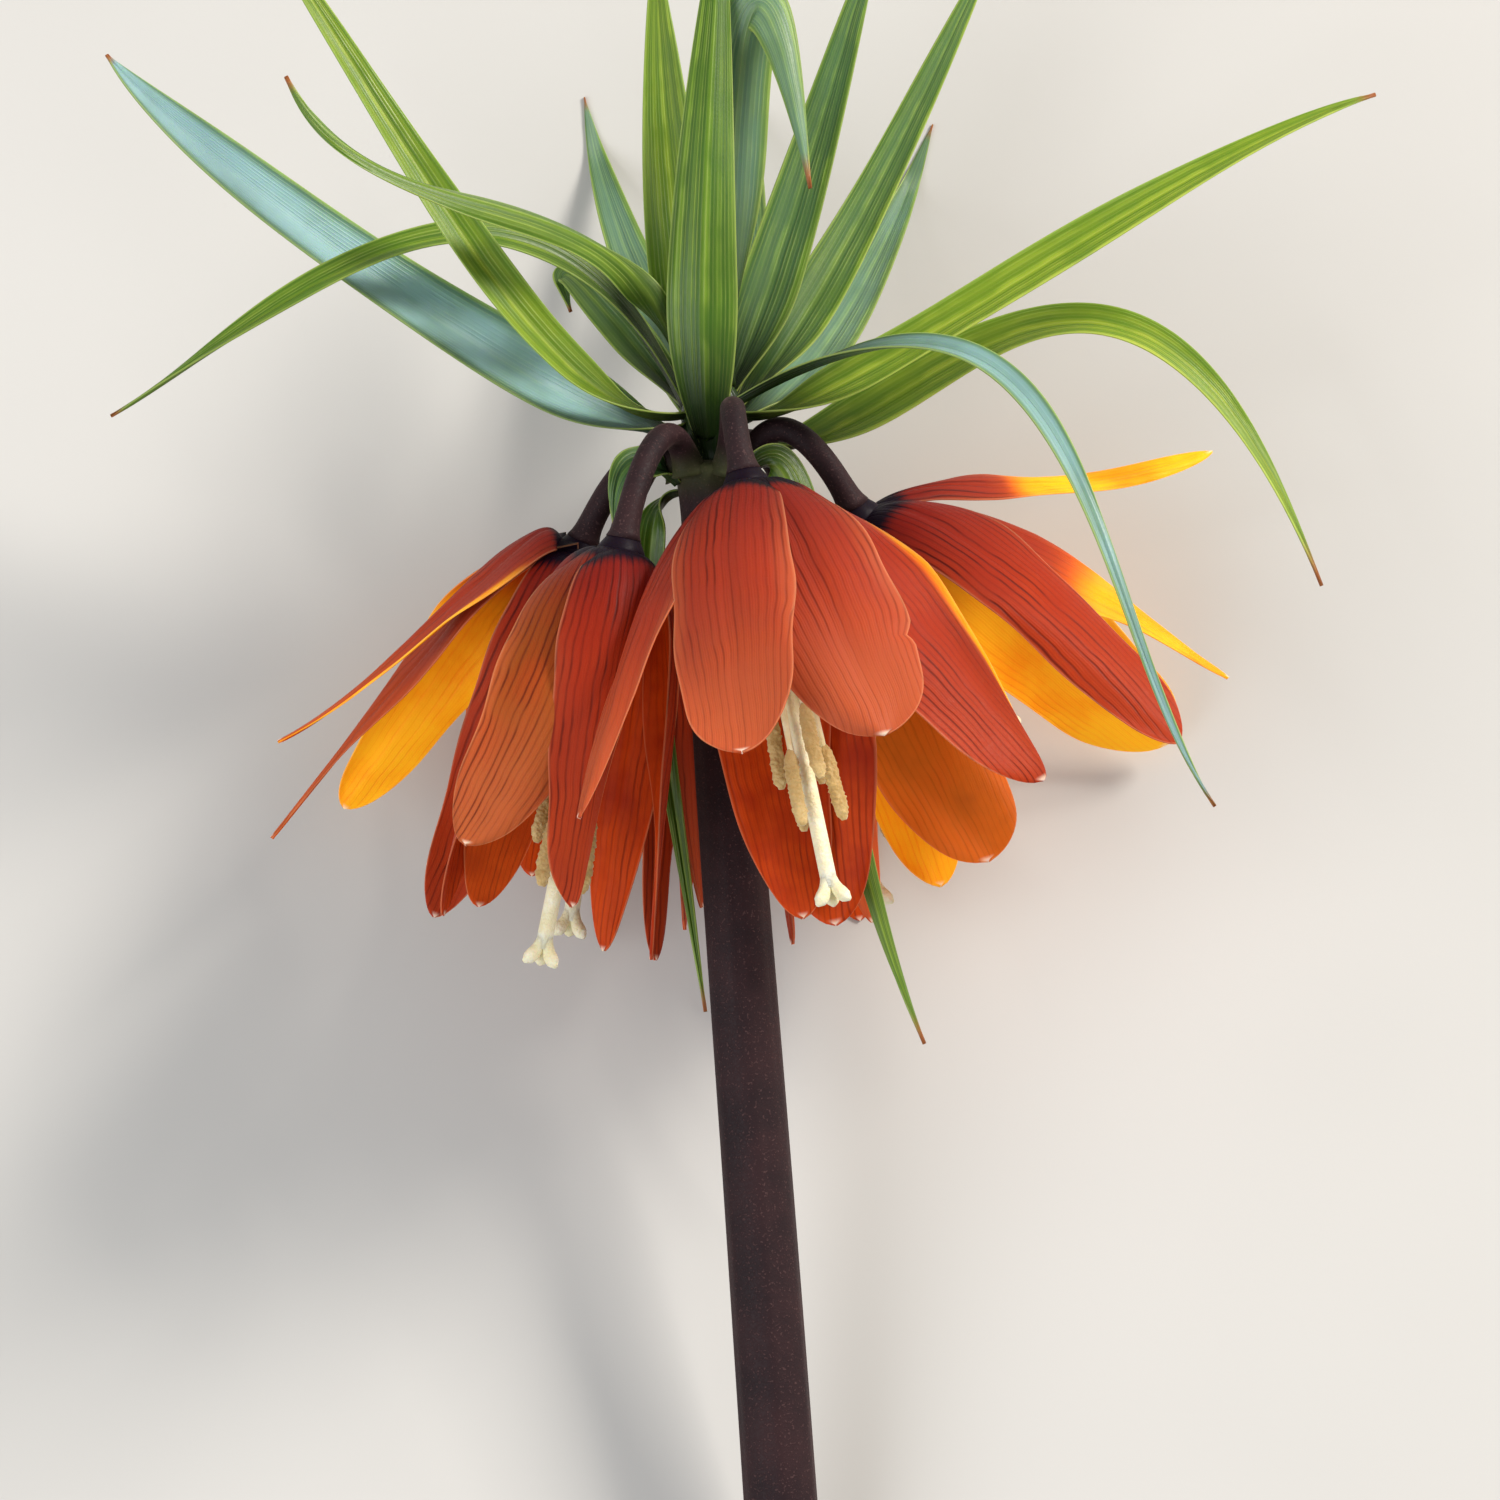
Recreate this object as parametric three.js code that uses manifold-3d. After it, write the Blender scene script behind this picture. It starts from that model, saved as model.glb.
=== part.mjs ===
// Crown imperial, cut and laid on a table: a thick dark stem, a ring of six hanging bells on arched
// stalks, and a crown of long strap leaves above them. Millimetres, +Z up.
//
// Everything is modelled upright in the plant's own frame: +Y runs up the stem, +Z is the side that
// ends on top when it lies down, and the origin is where the bells' stalks spring from the stem. The
// group at the end of the file lays the plant down on its back bells and the cut end of its stem.
import * as THREE from 'three';
import { mergeVertices } from 'three/addons/utils/BufferGeometryUtils.js';
import Module from 'manifold-3d';

const wasm = await Module();
wasm.setup();

// --- How it lies ---
const tilt = THREE.MathUtils.degToRad(10.5);
const stemLength = 182;
const stemTopRadius = 4.1;
const stemEndRadius = 5.3;
const umbelHeight = stemLength * Math.sin(tilt) + stemEndRadius * Math.cos(tilt);
const alongShift = 49;
const sideShift = -5.2;

// --- Blades: tepals and leaves ---
const gap = 0.3;
const tepalThickness = 1.0;
const leafThickness = 0.9;
const edgeThickness = 0.7;
const tepalSteps = 6;
const tepalStrips = 4;
const leafSteps = 10;
const leafStrips = 2;
const footGap = 0.85;
const contactDepth = 0.25;

const up = new THREE.Vector3(0, 1, 0);
const xyz = ([x, y, z]) => new THREE.Vector3(x, y, z);
const clamp01 = (x) => Math.min(Math.max(x, 0), 1);
const smooth = THREE.MathUtils.smoothstep;

// --- Limits that a blade is bent clear of ---

/** Zero below -soft, the value itself above soft, and a smooth bend between the two. */
function softMax(value, soft) {
  if (value <= -soft) return 0;
  if (value >= soft) return value;
  return (value + soft) ** 2 / (4 * soft);
}

/** Moves a point to the allowed side of each limit: a plane with its normal on that side. */
function bendClear(point, limits) {
  for (const { normal, offset, margin, soft } of limits) {
    const depth = point.dot(normal) - offset - margin;
    point.addScaledVector(normal, softMax(depth, soft) - depth);
  }
  return point;
}

/** A limit through a point, with its normal made unit length. */
function limit(through, normal, margin, soft = 2) {
  const unit = xyz(normal).normalize();
  return { normal: unit, offset: unit.dot(xyz(through)), margin, soft };
}

const tableNormal = new THREE.Vector3(0, Math.sin(tilt), Math.cos(tilt));
const tableFor = (thickness) => ({
  normal: tableNormal, offset: -umbelHeight, margin: thickness / 2, soft: 1.2,
});

/** A point that all but touches the table is set down on it. */
function settle(point) {
  const height = point.dot(tableNormal) + umbelHeight;
  return height < contactDepth ? point.addScaledVector(tableNormal, -height) : point;
}

// --- Solids ---

/** A closed solid through rings of points of equal count, with a fan at each end. */
function solidThroughRings(rings) {
  const sides = rings[0].length;
  const points = rings.flat();
  const index = [];
  for (let ring = 0; ring < rings.length - 1; ring += 1) {
    for (let side = 0; side < sides; side += 1) {
      const a = ring * sides + side;
      const b = ring * sides + (side + 1) % sides;
      index.push(a, b, b + sides, a, b + sides, a + sides);
    }
  }
  const last = (rings.length - 1) * sides;
  for (let side = 1; side < sides - 1; side += 1) {
    index.push(0, side + 1, side, last, last + side, last + side + 1);
  }
  return outward(points, index);
}

/** A BufferGeometry of shared vertices whose faces point out. */
function outward(points, index) {
  let volume = 0;
  for (let i = 0; i < index.length; i += 3) {
    const [a, b, c] = [points[index[i]], points[index[i + 1]], points[index[i + 2]]];
    volume += a.dot(b.clone().cross(c));
  }
  if (volume < 0) index.reverse();
  const geometry = new THREE.BufferGeometry().setFromPoints(points);
  geometry.setIndex(index);
  return geometry;
}

/** A round bar along a curve, its radius a function of the way along it. */
function bar(curve, radiusAt, sides, steps) {
  const frames = curve.computeFrenetFrames(steps, false);
  const rings = [];
  for (let step = 0; step <= steps; step += 1) {
    const way = step / steps;
    const centre = curve.getPointAt(way);
    const ring = [];
    for (let side = 0; side < sides; side += 1) {
      const turn = 2 * Math.PI * side / sides;
      const radius = radiusAt(way);
      ring.push(centre.clone()
        .addScaledVector(frames.normals[step], radius * Math.cos(turn))
        .addScaledVector(frames.binormals[step], radius * Math.sin(turn)));
    }
    rings.push(ring);
  }
  return solidThroughRings(rings);
}

/** A thin closed blade about a middle surface: rows of points, split alike on both faces. */
function blade(rows, thickness) {
  const steps = rows.length - 1;
  const strips = rows[0].length - 1;
  const points = [];
  for (const face of [0.5, -0.5]) {
    for (let i = 0; i <= steps; i += 1) {
      for (let j = 0; j <= strips; j += 1) {
        const along = rows[Math.min(i + 1, steps)][j].clone().sub(rows[Math.max(i - 1, 0)][j]);
        const across = rows[i][Math.min(j + 1, strips)].clone().sub(rows[i][Math.max(j - 1, 0)]);
        const edge = Math.abs(2 * j / strips - 1) ** 3;
        const depth = thickness + (edgeThickness - thickness) * edge;
        const normal = along.cross(across).normalize();
        points.push(settle(rows[i][j].clone().addScaledVector(normal, face * depth)));
      }
    }
  }
  const row = strips + 1;
  const under = (steps + 1) * row;
  const index = [];
  for (let i = 0; i < steps; i += 1) {
    for (let j = 0; j < strips; j += 1) {
      const a = i * row + j;
      const b = under + a;
      index.push(a, a + row, a + row + 1, a, a + row + 1, a + 1);
      index.push(b, b + row + 1, b + row, b, b + 1, b + row + 1);
    }
  }
  const wall = (a, b) => index.push(a, b, b + under, a, b + under, a + under);
  for (let j = 0; j < strips; j += 1) {
    wall(j, j + 1);
    wall(steps * row + j + 1, steps * row + j);
  }
  for (let i = 0; i < steps; i += 1) {
    wall((i + 1) * row, i * row);
    wall(i * row + strips, (i + 1) * row + strips);
  }
  return outward(points, index);
}

const mergeDistance = 1e-4;
const simplifyTolerance = 0.004;

/** The three.js geometry as a solid for joining. */
function toSolid(geometry) {
  const bare = geometry.clone();
  bare.deleteAttribute('normal');
  bare.deleteAttribute('uv');
  const merged = mergeVertices(bare, mergeDistance);
  return new wasm.Manifold(new wasm.Mesh({
    numProp: 3,
    vertProperties: new Float32Array(merged.attributes.position.array),
    triVerts: new Uint32Array(merged.index.array),
  }));
}

/** One geometry of several that grow into each other, with the hairline pockets between them filled. */
function fused(geometries) {
  const whole = geometries.map(toSolid).reduce((sum, solid) => sum.add(solid));
  const outer = whole.simplify(simplifyTolerance).decompose().filter((body) => body.volume() > 0);
  const mesh = wasm.Manifold.compose(outer).getMesh();
  const geometry = new THREE.BufferGeometry();
  geometry.setAttribute('position', new THREE.BufferAttribute(new Float32Array(mesh.vertProperties), 3));
  geometry.setIndex(new THREE.BufferAttribute(new Uint32Array(mesh.triVerts), 1));
  return geometry;
}

const plant = new THREE.Group();

function add(name, geometry, material) {
  const mesh = new THREE.Mesh(geometry, material);
  mesh.name = name;
  plant.add(mesh);
}

// --- Flowering stem: dark purple, round, slightly thicker and bowed towards its cut end ---
const stemMaterial = new THREE.MeshStandardMaterial({ color: 0x3a2128, roughness: 0.75, metalness: 0 });
const stemStart = new THREE.Vector3(1.0, 0, 0);
const stemAxis = new THREE.CubicBezierCurve3(
  stemStart,
  new THREE.Vector3(1.0, -25, 0),
  new THREE.Vector3(8.6, -110, 0.6),
  new THREE.Vector3(13.2, -stemLength, 0),
);
const stemRadiusAt = (way) => stemTopRadius + (stemEndRadius - stemTopRadius) * way + 1.4 * (1 - way) ** 24;
add('stem', bar(stemAxis, stemRadiusAt, 14, 10), stemMaterial);

// --- Bells: six tepals in two layers on a collar, and in each bell six stamens round a pistil ---
const tepalMaterial = new THREE.MeshStandardMaterial({ color: 0xc4502a, roughness: 0.5, metalness: 0 });
const stamenMaterial = new THREE.MeshStandardMaterial({ color: 0xe8d6a8, roughness: 0.6, metalness: 0 });
const collarRadius = 3.3;
const collarTop = -1.8;
const collarBottom = 2.6;
const stalkRadius = 1.75;
const stalkRing = 4.3;
const stalkFoot = 0.95;
const stalkSpread = 3.5;
const stalkRise = 9;
const stalkArrival = 12;
const outerShoulder = { out: 13.5, along: 0 };
const innerShoulder = { out: 11.5, along: 1.5 };
const steepRoll = 40;

// Where a bell's collar sits, where its pistil points, and the azimuth and rise of its stalk's arch.
// Each tepal: the place of its tip and its width. Some also have a roll in degrees about their own length,
// a sideways lean, a middle that bulges outward by other than 2, a shoulder that spreads further or rises,
// and a point that is drawn out (1) rather than blunt (0).
const bells = {
  front: {
    base: [5.6, -2.3, 22], pistil: [17.3, -58.6, 30], azimuth: 61.15, tepals: [
      { tip: [45.7, -43.0, 28], width: 21, roll: 58, lean: 4, point: 0.2 },
      { tip: [24.0, -36.9, 48], width: 19.5, roll: 18, lean: 1, bulge: 4 },
      { tip: [5.2, -39.2, 54], width: 17.5, bulge: 3 },
      { tip: [-16.4, -47.9, 44], width: 14, roll: -10, point: 0.7 },
      { tip: [18.0, -62.9, 13], width: 22, lean: 2, bulge: 1, point: 0.3 },
      { tip: [13.5, -61.9, 16], width: 20, bulge: 1, point: 0.3 },
    ],
  },
  front_left: {
    base: [-11.2, -11.3, 18], pistil: [-22.1, -67.1, 20], azimuth: 135, tepals: [
      { tip: [-16.8, -60.0, 35], width: 19, roll: 15, bulge: 4, point: 0.3 },
      { tip: [-31.9, -51.6, 32], width: 19, roll: -30, lean: -4, bulge: 1, point: 0.3 },
      { tip: [-36.1, -61.5, 14], width: 16, roll: -20, bulge: 3, point: 0.5 },
      { tip: [-32.5, -60.4, 9], width: 18, lean: 1, bulge: 1, point: 0.3 },
      { tip: [-13.9, -66.6, 6], width: 15, bulge: 1, point: 0.5 },
      { tip: [-6.8, -67.7, 12], width: 12, bulge: 1, point: 0.7 },
    ],
  },
  left: {
    base: [-17.4, -10.8, -2], pistil: [-36.5, -55, -8], azimuth: 187, arch: 4, tepals: [
      { tip: [-59.1, -37.8, 3], width: 13, bulge: -5, spread: -5.5, rise: 8.5, point: 1.0 },
      { tip: [-60.9, -51.3, -10], width: 12, roll: -20, lean: -2.5, point: 1.0 },
      { tip: [-37.5, -62.0, 4], width: 16, point: 0.4 },
      { tip: [-51.1, -47.1, -16], width: 14, roll: 50, lean: 2, point: 0.3 },
      { tip: [-33.2, -55.8, -14], width: 15, bulge: 1, point: 0.4 },
      { tip: [-33.0, -38.0, -24], width: 14, bulge: 1, point: 0.4 },
    ],
  },
  right: {
    base: [21.0, -6.1, 2], pistil: [39, -39, -8], azimuth: 8, tepals: [
      { tip: [64.9, -37.8, 16], width: 16, lean: -2, bulge: 3, rise: 2, point: 0.3 },
      { tip: [72.9, -28.9, -4], width: 15, roll: 20, rise: 1, point: 0.8 },
      { tip: [71.8, 3.4, -20], width: 7, roll: 30, bulge: -12, point: 0.2 },
      { tip: [66.0, -37.9, -27], width: 21, roll: -45, lean: -2, bulge: 0, point: 0.1 },
      { tip: [40.0, -35.0, -26], width: 13, bulge: 1, point: 0.4 },
      { tip: [37.5, -40.0, 2], width: 12, bulge: 1, point: 0.4 },
    ],
  },
  back_right: {
    base: [14.2, -11.4, -18.5], pistil: [24, -60, -14.3], azimuth: 302, tepals: [
      { tip: [39.3, -54.3, 2], width: 21, roll: 35, lean: 2, bulge: 3, point: 0.1 },
      { tip: [33.0, -58.0, -8], width: 18, roll: 50, lean: 2, point: 0.3 },
      { tip: [23.2, -62.8, 2], width: 14, point: 0.6 },
      { tip: [22, -63.7, -29], width: 16, bulge: 3, point: 0.4 },
      { tip: [12.3, -66.3, -14], width: 15, bulge: 1, point: 0.5 },
      { tip: [33, -54.7, -31], width: 17, bulge: 3, point: 0.3 },
    ],
  },
  back_left: {
    base: [-12.6, -12.6, -18.5], pistil: [-19.3, -64.3, -18], azimuth: 242, tepals: [
      { tip: [-2.9, -64.2, -12], width: 15, point: 0.6 },
      { tip: [-7.0, -68.3, -6], width: 15, point: 0.6 },
      { tip: [-22, -55, -3], width: 15, bulge: 1, point: 0.5 },
      { tip: [-32.2, -50.3, -24], width: 17, point: 0.4 },
      { tip: [-25, -57.5, -31], width: 16, bulge: 4, point: 0.4 },
      { tip: [-0.5, -61.0, -8.5], width: 13, bulge: 1, point: 0.6 },
    ],
  },
};

// Crowded bells press against each other. Between each two lies a plane that neither crosses: a point
// on it, and its normal on the side of the second bell.
const borders = [
  ['front_left', 'front', [8.4, 0, 0], [0.89, -0.11, 0.454]],
  ['right', 'front', [11.1, 0, 0], [-0.72, -0.2, 0.66]],
  ['back_right', 'right', [6, 0, 0], [0.72, 0.6, 0.36]],
  ['back_right', 'front', [0, 0, 7], [0, 0, 1]],
  ['left', 'front_left', [0, 0, -4.2], [0.45, 0, 0.9]],
  ['back_left', 'left', [-8.3, 0, 0], [-0.75, 0.1, 0.65]],
  ['back_left', 'front_left', [0, 0, 1], [0, 0, 1]],
  ['back_left', 'back_right', [2.5, -60, -10], [1, 0.05, 0]],
];

// Each bell keeps to its own side of the stem.
const stemSides = {
  front: [0, 0, 1],
  front_left: [-0.8, 0, 0.6],
  left: [-1, 0, 0],
  right: [1, 0, 0],
  back_right: [0.5, 0, -0.87],
  back_left: [-0.55, 0, -0.83],
};
const stemClearance = stemTopRadius + 2.2;

/** All that a bell's blades keep clear of, and what hangs inside them by that much more. */
function limitsOf(bellName, inside = 0) {
  const margin = tepalThickness / 2 + gap / 2 + inside;
  const found = [limit([2.5, 0, 0], stemSides[bellName], stemClearance + inside)];
  for (const [first, second, through, normal] of borders) {
    if (bellName === second) found.push(limit(through, normal, margin));
    if (bellName === first) found.push(limit(through, normal.map((part) => -part), margin));
  }
  found.push(tableFor(tepalThickness + 2 * inside));
  return found;
}

/** Half width of a tepal: narrow at the collar, broadest past the middle, with a blunt or drawn-out point. */
function tepalHalfWidth(way, width, point) {
  const opening = 0.52 + 0.48 * Math.sin(clamp01(way / 0.62) * Math.PI / 2);
  const blunt = (1 - clamp01((way - 0.5) / 0.5) ** 4) ** 0.6;
  const drawnOut = 0.82 * (1 - smooth(way, 0.38, 0.8)) + 0.18 * (1 - clamp01((way - 0.7) / 0.3));
  return Math.max(0.5 * width * opening * (blunt + (drawnOut - blunt) * point), 0.5);
}

/** Middle surface of a tepal: arched out from the collar and hollowed towards the pistil. */
function tepalRows(bell, tepal, inner, limits) {
  const { width, roll = 0, lean = 0, bulge = 2, spread = 0, rise = 0, point = 0 } = tepal;
  const base = xyz(bell.base);
  const axis = xyz(bell.pistil).sub(base).normalize();
  const tip = xyz(tepal.tip);
  const reach = tip.clone().sub(base);
  const out = reach.clone().addScaledVector(axis, -reach.dot(axis)).normalize();
  const shoulder = inner ? innerShoulder : outerShoulder;
  const spine = new THREE.CubicBezierCurve3(
    base.clone().addScaledVector(out, 2.6).addScaledVector(axis, 0.6),
    base.clone().addScaledVector(out, shoulder.out + spread).addScaledVector(axis, shoulder.along - rise),
    base.clone().lerp(tip, 0.62).addScaledVector(out, 2 + bulge),
    tip,
  );
  const roundBell = new THREE.Vector3().crossVectors(axis, out);
  const rows = [];
  for (let i = 0; i <= tepalSteps; i += 1) {
    const way = 1 - (1 - i / tepalSteps) ** 1.25;
    const tangent = spine.getTangent(way);
    const turn = THREE.MathUtils.degToRad(roll) * Math.min(way * 2, 1);
    const side = roundBell.clone().applyAxisAngle(tangent, turn);
    side.addScaledVector(tangent, -side.dot(tangent)).normalize();
    const outside = new THREE.Vector3().crossVectors(side, tangent);
    if (Math.abs(roll) <= steepRoll && outside.dot(out) < outside.dot(axis)) outside.negate();
    const half = tepalHalfWidth(way, width, point);
    const hollow = 0.16 + 0.3 * (1 - smooth(way, 0.05, 0.45)) - 0.1 * smooth(way, 0.6, 0.95);
    const row = [];
    for (let j = 0; j <= tepalStrips; j += 1) {
      const across = 2 * j / tepalStrips - 1;
      const place = spine.getPoint(way)
        .addScaledVector(side, half * across + lean * Math.sin(Math.PI * way))
        .addScaledVector(outside, -hollow * half * across ** 2);
      row.push(bendClear(place, limits));
    }
    rows.push(row);
  }
  return rows;
}

/** Turns a lathe about +Y to stand on a bell's axis, with its +Y towards the mouth. */
function alongAxis(geometry, base, axis) {
  geometry.applyQuaternion(new THREE.Quaternion().setFromUnitVectors(up, axis));
  return geometry.translate(base.x, base.y, base.z);
}

function petals(bellName) {
  const bell = bells[bellName];
  const base = xyz(bell.base);
  const axis = xyz(bell.pistil).sub(base).normalize();
  const collar = new THREE.LatheGeometry([
    new THREE.Vector2(0, collarTop),
    new THREE.Vector2(1.9, collarTop),
    new THREE.Vector2(2.7, collarTop + 1.1),
    new THREE.Vector2(collarRadius, 0.5),
    new THREE.Vector2(3.2, collarBottom),
    new THREE.Vector2(0, collarBottom),
  ], 12);
  const limits = limitsOf(bellName);
  const blades = bell.tepals.map((tepal, turn) => (
    blade(tepalRows(bell, tepal, turn % 2 === 1, limits), tepalThickness)));
  return fused([alongAxis(collar, base, axis), ...blades]);
}

const filamentRadius = 0.55;
const antherLength = 9.5;
const antherRadius = 1.25;
const styleRadius = 1.05;

/** Six stamens and a three-lobed pistil on one receptacle, hanging free in the bell. */
function stamens(bellName) {
  const bell = bells[bellName];
  const base = xyz(bell.base);
  const reach = xyz(bell.pistil).sub(base);
  const length = reach.length();
  const axis = reach.normalize();
  const side = new THREE.Vector3(0, 0, 1).cross(axis).normalize();
  const front = new THREE.Vector3().crossVectors(axis, side);
  const limits = limitsOf(bellName, tepalThickness + gap + antherRadius);
  const spot = (along, aside, turn) => bendClear(base.clone()
    .addScaledVector(axis, along)
    .addScaledVector(side, aside * Math.cos(turn))
    .addScaledVector(front, aside * Math.sin(turn)), limits);
  const start = collarBottom + gap;
  const receptacle = new THREE.LatheGeometry([
    new THREE.Vector2(0, start),
    new THREE.Vector2(2.4, start),
    new THREE.Vector2(2.2, start + 1.2),
    new THREE.Vector2(0, start + 2.2),
  ], 8);
  const solids = [alongAxis(receptacle, base, axis)];
  const style = new THREE.LineCurve3(spot(start + 0.6, 0, 0), spot(length - 2, 0, 0));
  solids.push(bar(style, () => styleRadius, 5, 1));
  for (let lobe = 0; lobe < 3; lobe += 1) {
    const turn = 2 * Math.PI * lobe / 3 + 0.5;
    const curl = new THREE.QuadraticBezierCurve3(
      spot(length - 3, 0.2, turn), spot(length - 1, 0.8, turn), spot(length + 0.6, 2.3, turn));
    solids.push(bar(curl, (way) => 0.95 - 0.25 * way, 4, 1));
  }
  for (let stamen = 0; stamen < 6; stamen += 1) {
    const turn = 2 * Math.PI * stamen / 6;
    const end = length * (stamen % 2 ? 0.7 : 0.78);
    const thread = new THREE.QuadraticBezierCurve3(
      spot(start + 0.6, 1.5, turn), spot(end * 0.5, 2.4, turn), spot(end, 4.2, turn));
    solids.push(bar(thread, () => filamentRadius, 3, 2));
    const anther = new THREE.LineCurve3(
      spot(end - antherLength / 2, 4.1, turn), spot(end + antherLength / 2, 4.6, turn));
    solids.push(bar(anther, (way) => antherRadius * (0.45 + 0.55 * Math.sin(Math.PI * way)), 5, 2));
  }
  return fused(solids);
}

/** A stalk that rises from the stem's top, arches over and runs down into the bell's collar. */
function stalk(bellName) {
  const bell = bells[bellName];
  const base = xyz(bell.base);
  const axis = xyz(bell.pistil).sub(base).normalize();
  const turn = THREE.MathUtils.degToRad(bell.azimuth);
  const out = new THREE.Vector3(Math.cos(turn), 0, Math.sin(turn));
  const start = stemStart.clone().addScaledVector(out, stalkRing).setY(stalkFoot);
  const end = base.clone().addScaledVector(axis, collarTop - gap);
  const arch = new THREE.CubicBezierCurve3(
    start,
    start.clone().addScaledVector(out, stalkSpread).addScaledVector(up, bell.arch ?? stalkRise),
    end.clone().addScaledVector(axis, -stalkArrival),
    end,
  );
  return bar(arch, () => stalkRadius, 8, 9);
}

for (const bellName of Object.keys(bells)) {
  add(`petals_${bellName}`, petals(bellName), tepalMaterial);
  add(`stamens_${bellName}`, stamens(bellName), stamenMaterial);
  add(`stalk_${bellName}`, stalk(bellName), stemMaterial);
}

// --- Crown: a green core above the stalks, and long strap leaves that spring from it ---
const leafMaterial = new THREE.MeshStandardMaterial({ color: 0x5f8f3a, roughness: 0.55, metalness: 0 });
const leafChannel = 0.35;
const coreProfile = [
  [0, gap], [2.0, gap], [2.5, 2.5], [3.8, 5], [4.4, 7.5], [3.7, 10.5], [2.0, 13], [0, 13.8],
];
const coreOutline = coreProfile.map(([radius, height]) => new THREE.Vector2(radius, height));
const core = new THREE.LatheGeometry(coreOutline, 12);
core.translate(stemStart.x, 0, stemStart.z);
add('crown_core', core, leafMaterial);

/** Radius of what a leaf grows from at a height: the core, or the stem below the stalks. */
function trunkRadius(height) {
  if (height < 0) return stemRadiusAt(-height / stemLength);
  const above = coreProfile.findIndex((point) => point[1] > height);
  const [lower, upper] = [coreProfile[above - 1], coreProfile[above]];
  return lower[0] + (upper[0] - lower[0]) * (height - lower[1]) / (upper[1] - lower[1]);
}

/** The spot at an azimuth and a height where a leaf's foot sits. */
function footAt([azimuth, height]) {
  const radius = trunkRadius(height) + footGap;
  const turn = THREE.MathUtils.degToRad(azimuth);
  return [stemStart.x + radius * Math.cos(turn), height, radius * Math.sin(turn)];
}

// Each leaf: the azimuth and height of its foot on the core (0 is the right side, 90 the viewer's), the
// three further points that draw its midrib, its width, and where its upper side faces at its foot and
// at its tip, in degrees from the plant's top (0) towards the viewer's side (90).
const leaves = {
  leaf_left_broad: {
    foot: [178, 5.6], spine: [[-11, 0, 3], [-72, 43, 7], [-82.5, 57, 6]],
    width: 11.5, faces: [50, 60], taper: 2.6,
  },
  leaf_left_rising: {
    foot: [150, 7.6], spine: [[-20, 2, 16], [-42, 48, 26], [-61.5, 75.3, 16]],
    width: 6.4, faces: [50, 60], taper: 3,
  },
  leaf_left_front: {
    foot: [150, 10.2], spine: [[-9.2, 44.5, 13], [-43.3, 25.3, 42], [-55.6, 50.9, 36]],
    width: 5.6, faces: [60, 40],
  },
  leaf_left_low: {
    foot: [198, 8.8], spine: [[-25.6, 55.5, 10], [-59.3, 18.6, 20], [-81.3, 6.9, 12]],
    width: 6, faces: [60, 30],
  },
  leaf_curled: {
    foot: [226, 8], spine: [[-11, 19, -9], [-24, 37, -13], [-19.0, 22.8, -13]],
    width: 7, faces: [60, 60],
  },
  leaf_upright_front: {
    foot: [100, 4.2], spine: [[-1.5, 20, 15], [0.5, 50.4, 11], [2.4, 80.0, 4]],
    width: 10.5, faces: [90, 90],
  },
  leaf_upright_back: {
    foot: [248, 11], spine: [[-4, 26, -8], [-6, 52.0, -10], [-7.1, 74.6, -10]],
    width: 10, faces: [90, 90],
  },
  leaf_upright_right: {
    foot: [305, 10.5], spine: [[9.5, 24, -7], [16, 49.4, -10], [25.2, 79.1, -12]],
    width: 9, faces: [80, 80],
  },
  leaf_tucked: {
    foot: [20, 11.5], spine: [[2, 50, 4], [6, 92, 4], [14.5, 38, 13]],
    width: 10, faces: [90, 90], taper: 3,
  },
  leaf_right_steep: {
    foot: [331, 8.3], spine: [[14.5, 20, -8.5], [26, 42.6, -16], [43.0, 79.7, -19]],
    width: 8, faces: [60, 60],
  },
  leaf_right_long: {
    foot: [26, 7.6], spine: [[15, 3, 11], [62, 42, 8], [93.1, 52.1, 0]],
    width: 7.6, faces: [50, 50], taper: 3,
  },
  leaf_right_arched: {
    foot: [338, 4.6], spine: [[23, -7, -11], [57, 60, -8], [86, -16, -4]],
    width: 8, faces: [55, 45], taper: 3,
  },
  leaf_draped: {
    foot: [60, 8.2], spine: [[54, 38, 27], [49.7, -19.6, 38], [68.4, -46.4, 34]],
    width: 4.6, faces: [60, 20], taper: 1.4,
  },
  leaf_hung_right: {
    foot: [43, -2], spine: [[17, 14, 7], [12, -36.0, 7], [30.3, -79.4, 7]],
    width: 6.5, faces: [60, 90],
  },
  leaf_hung_left: {
    foot: [205, -3], spine: [[-12, -4, -4], [-6.5, -31.8, -3], [0.0, -75.6, -9]],
    width: 4.6, faces: [60, 90],
  },
  leaf_bract_left: {
    foot: [161, -2], spine: [[-9, 3, 3.5], [-13, 2, 6], [-12.5, -8, 5]],
    width: 5, faces: [60, 90],
  },
  leaf_back_left: {
    foot: [271, 4.6], spine: [[-2, 12, -16], [-14, 34, -40], [-18, 56, -53]],
    width: 9, faces: [30, 70],
  },
  leaf_back_middle: {
    foot: [286, 7.8], spine: [[4, 22, -14], [6, 42, -38], [5, 62, -55]],
    width: 10, faces: [30, 70],
  },
  leaf_back_right: {
    foot: [336, 6.6], spine: [[15, 11, -8], [24, 28, -40], [33, 52, -52]],
    width: 9, faces: [30, 70],
  },
};

/** Half width of a leaf: broadest past its foot. A lower taper narrows it sooner towards its point. */
function leafHalfWidth(way, width, taper) {
  const opening = 0.38 + 0.62 * Math.sin(clamp01(way / 0.35) * Math.PI / 2);
  const closing = (1 - way ** taper) ** 0.9;
  return Math.max(0.5 * width * opening * closing, 0.5);
}

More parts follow.
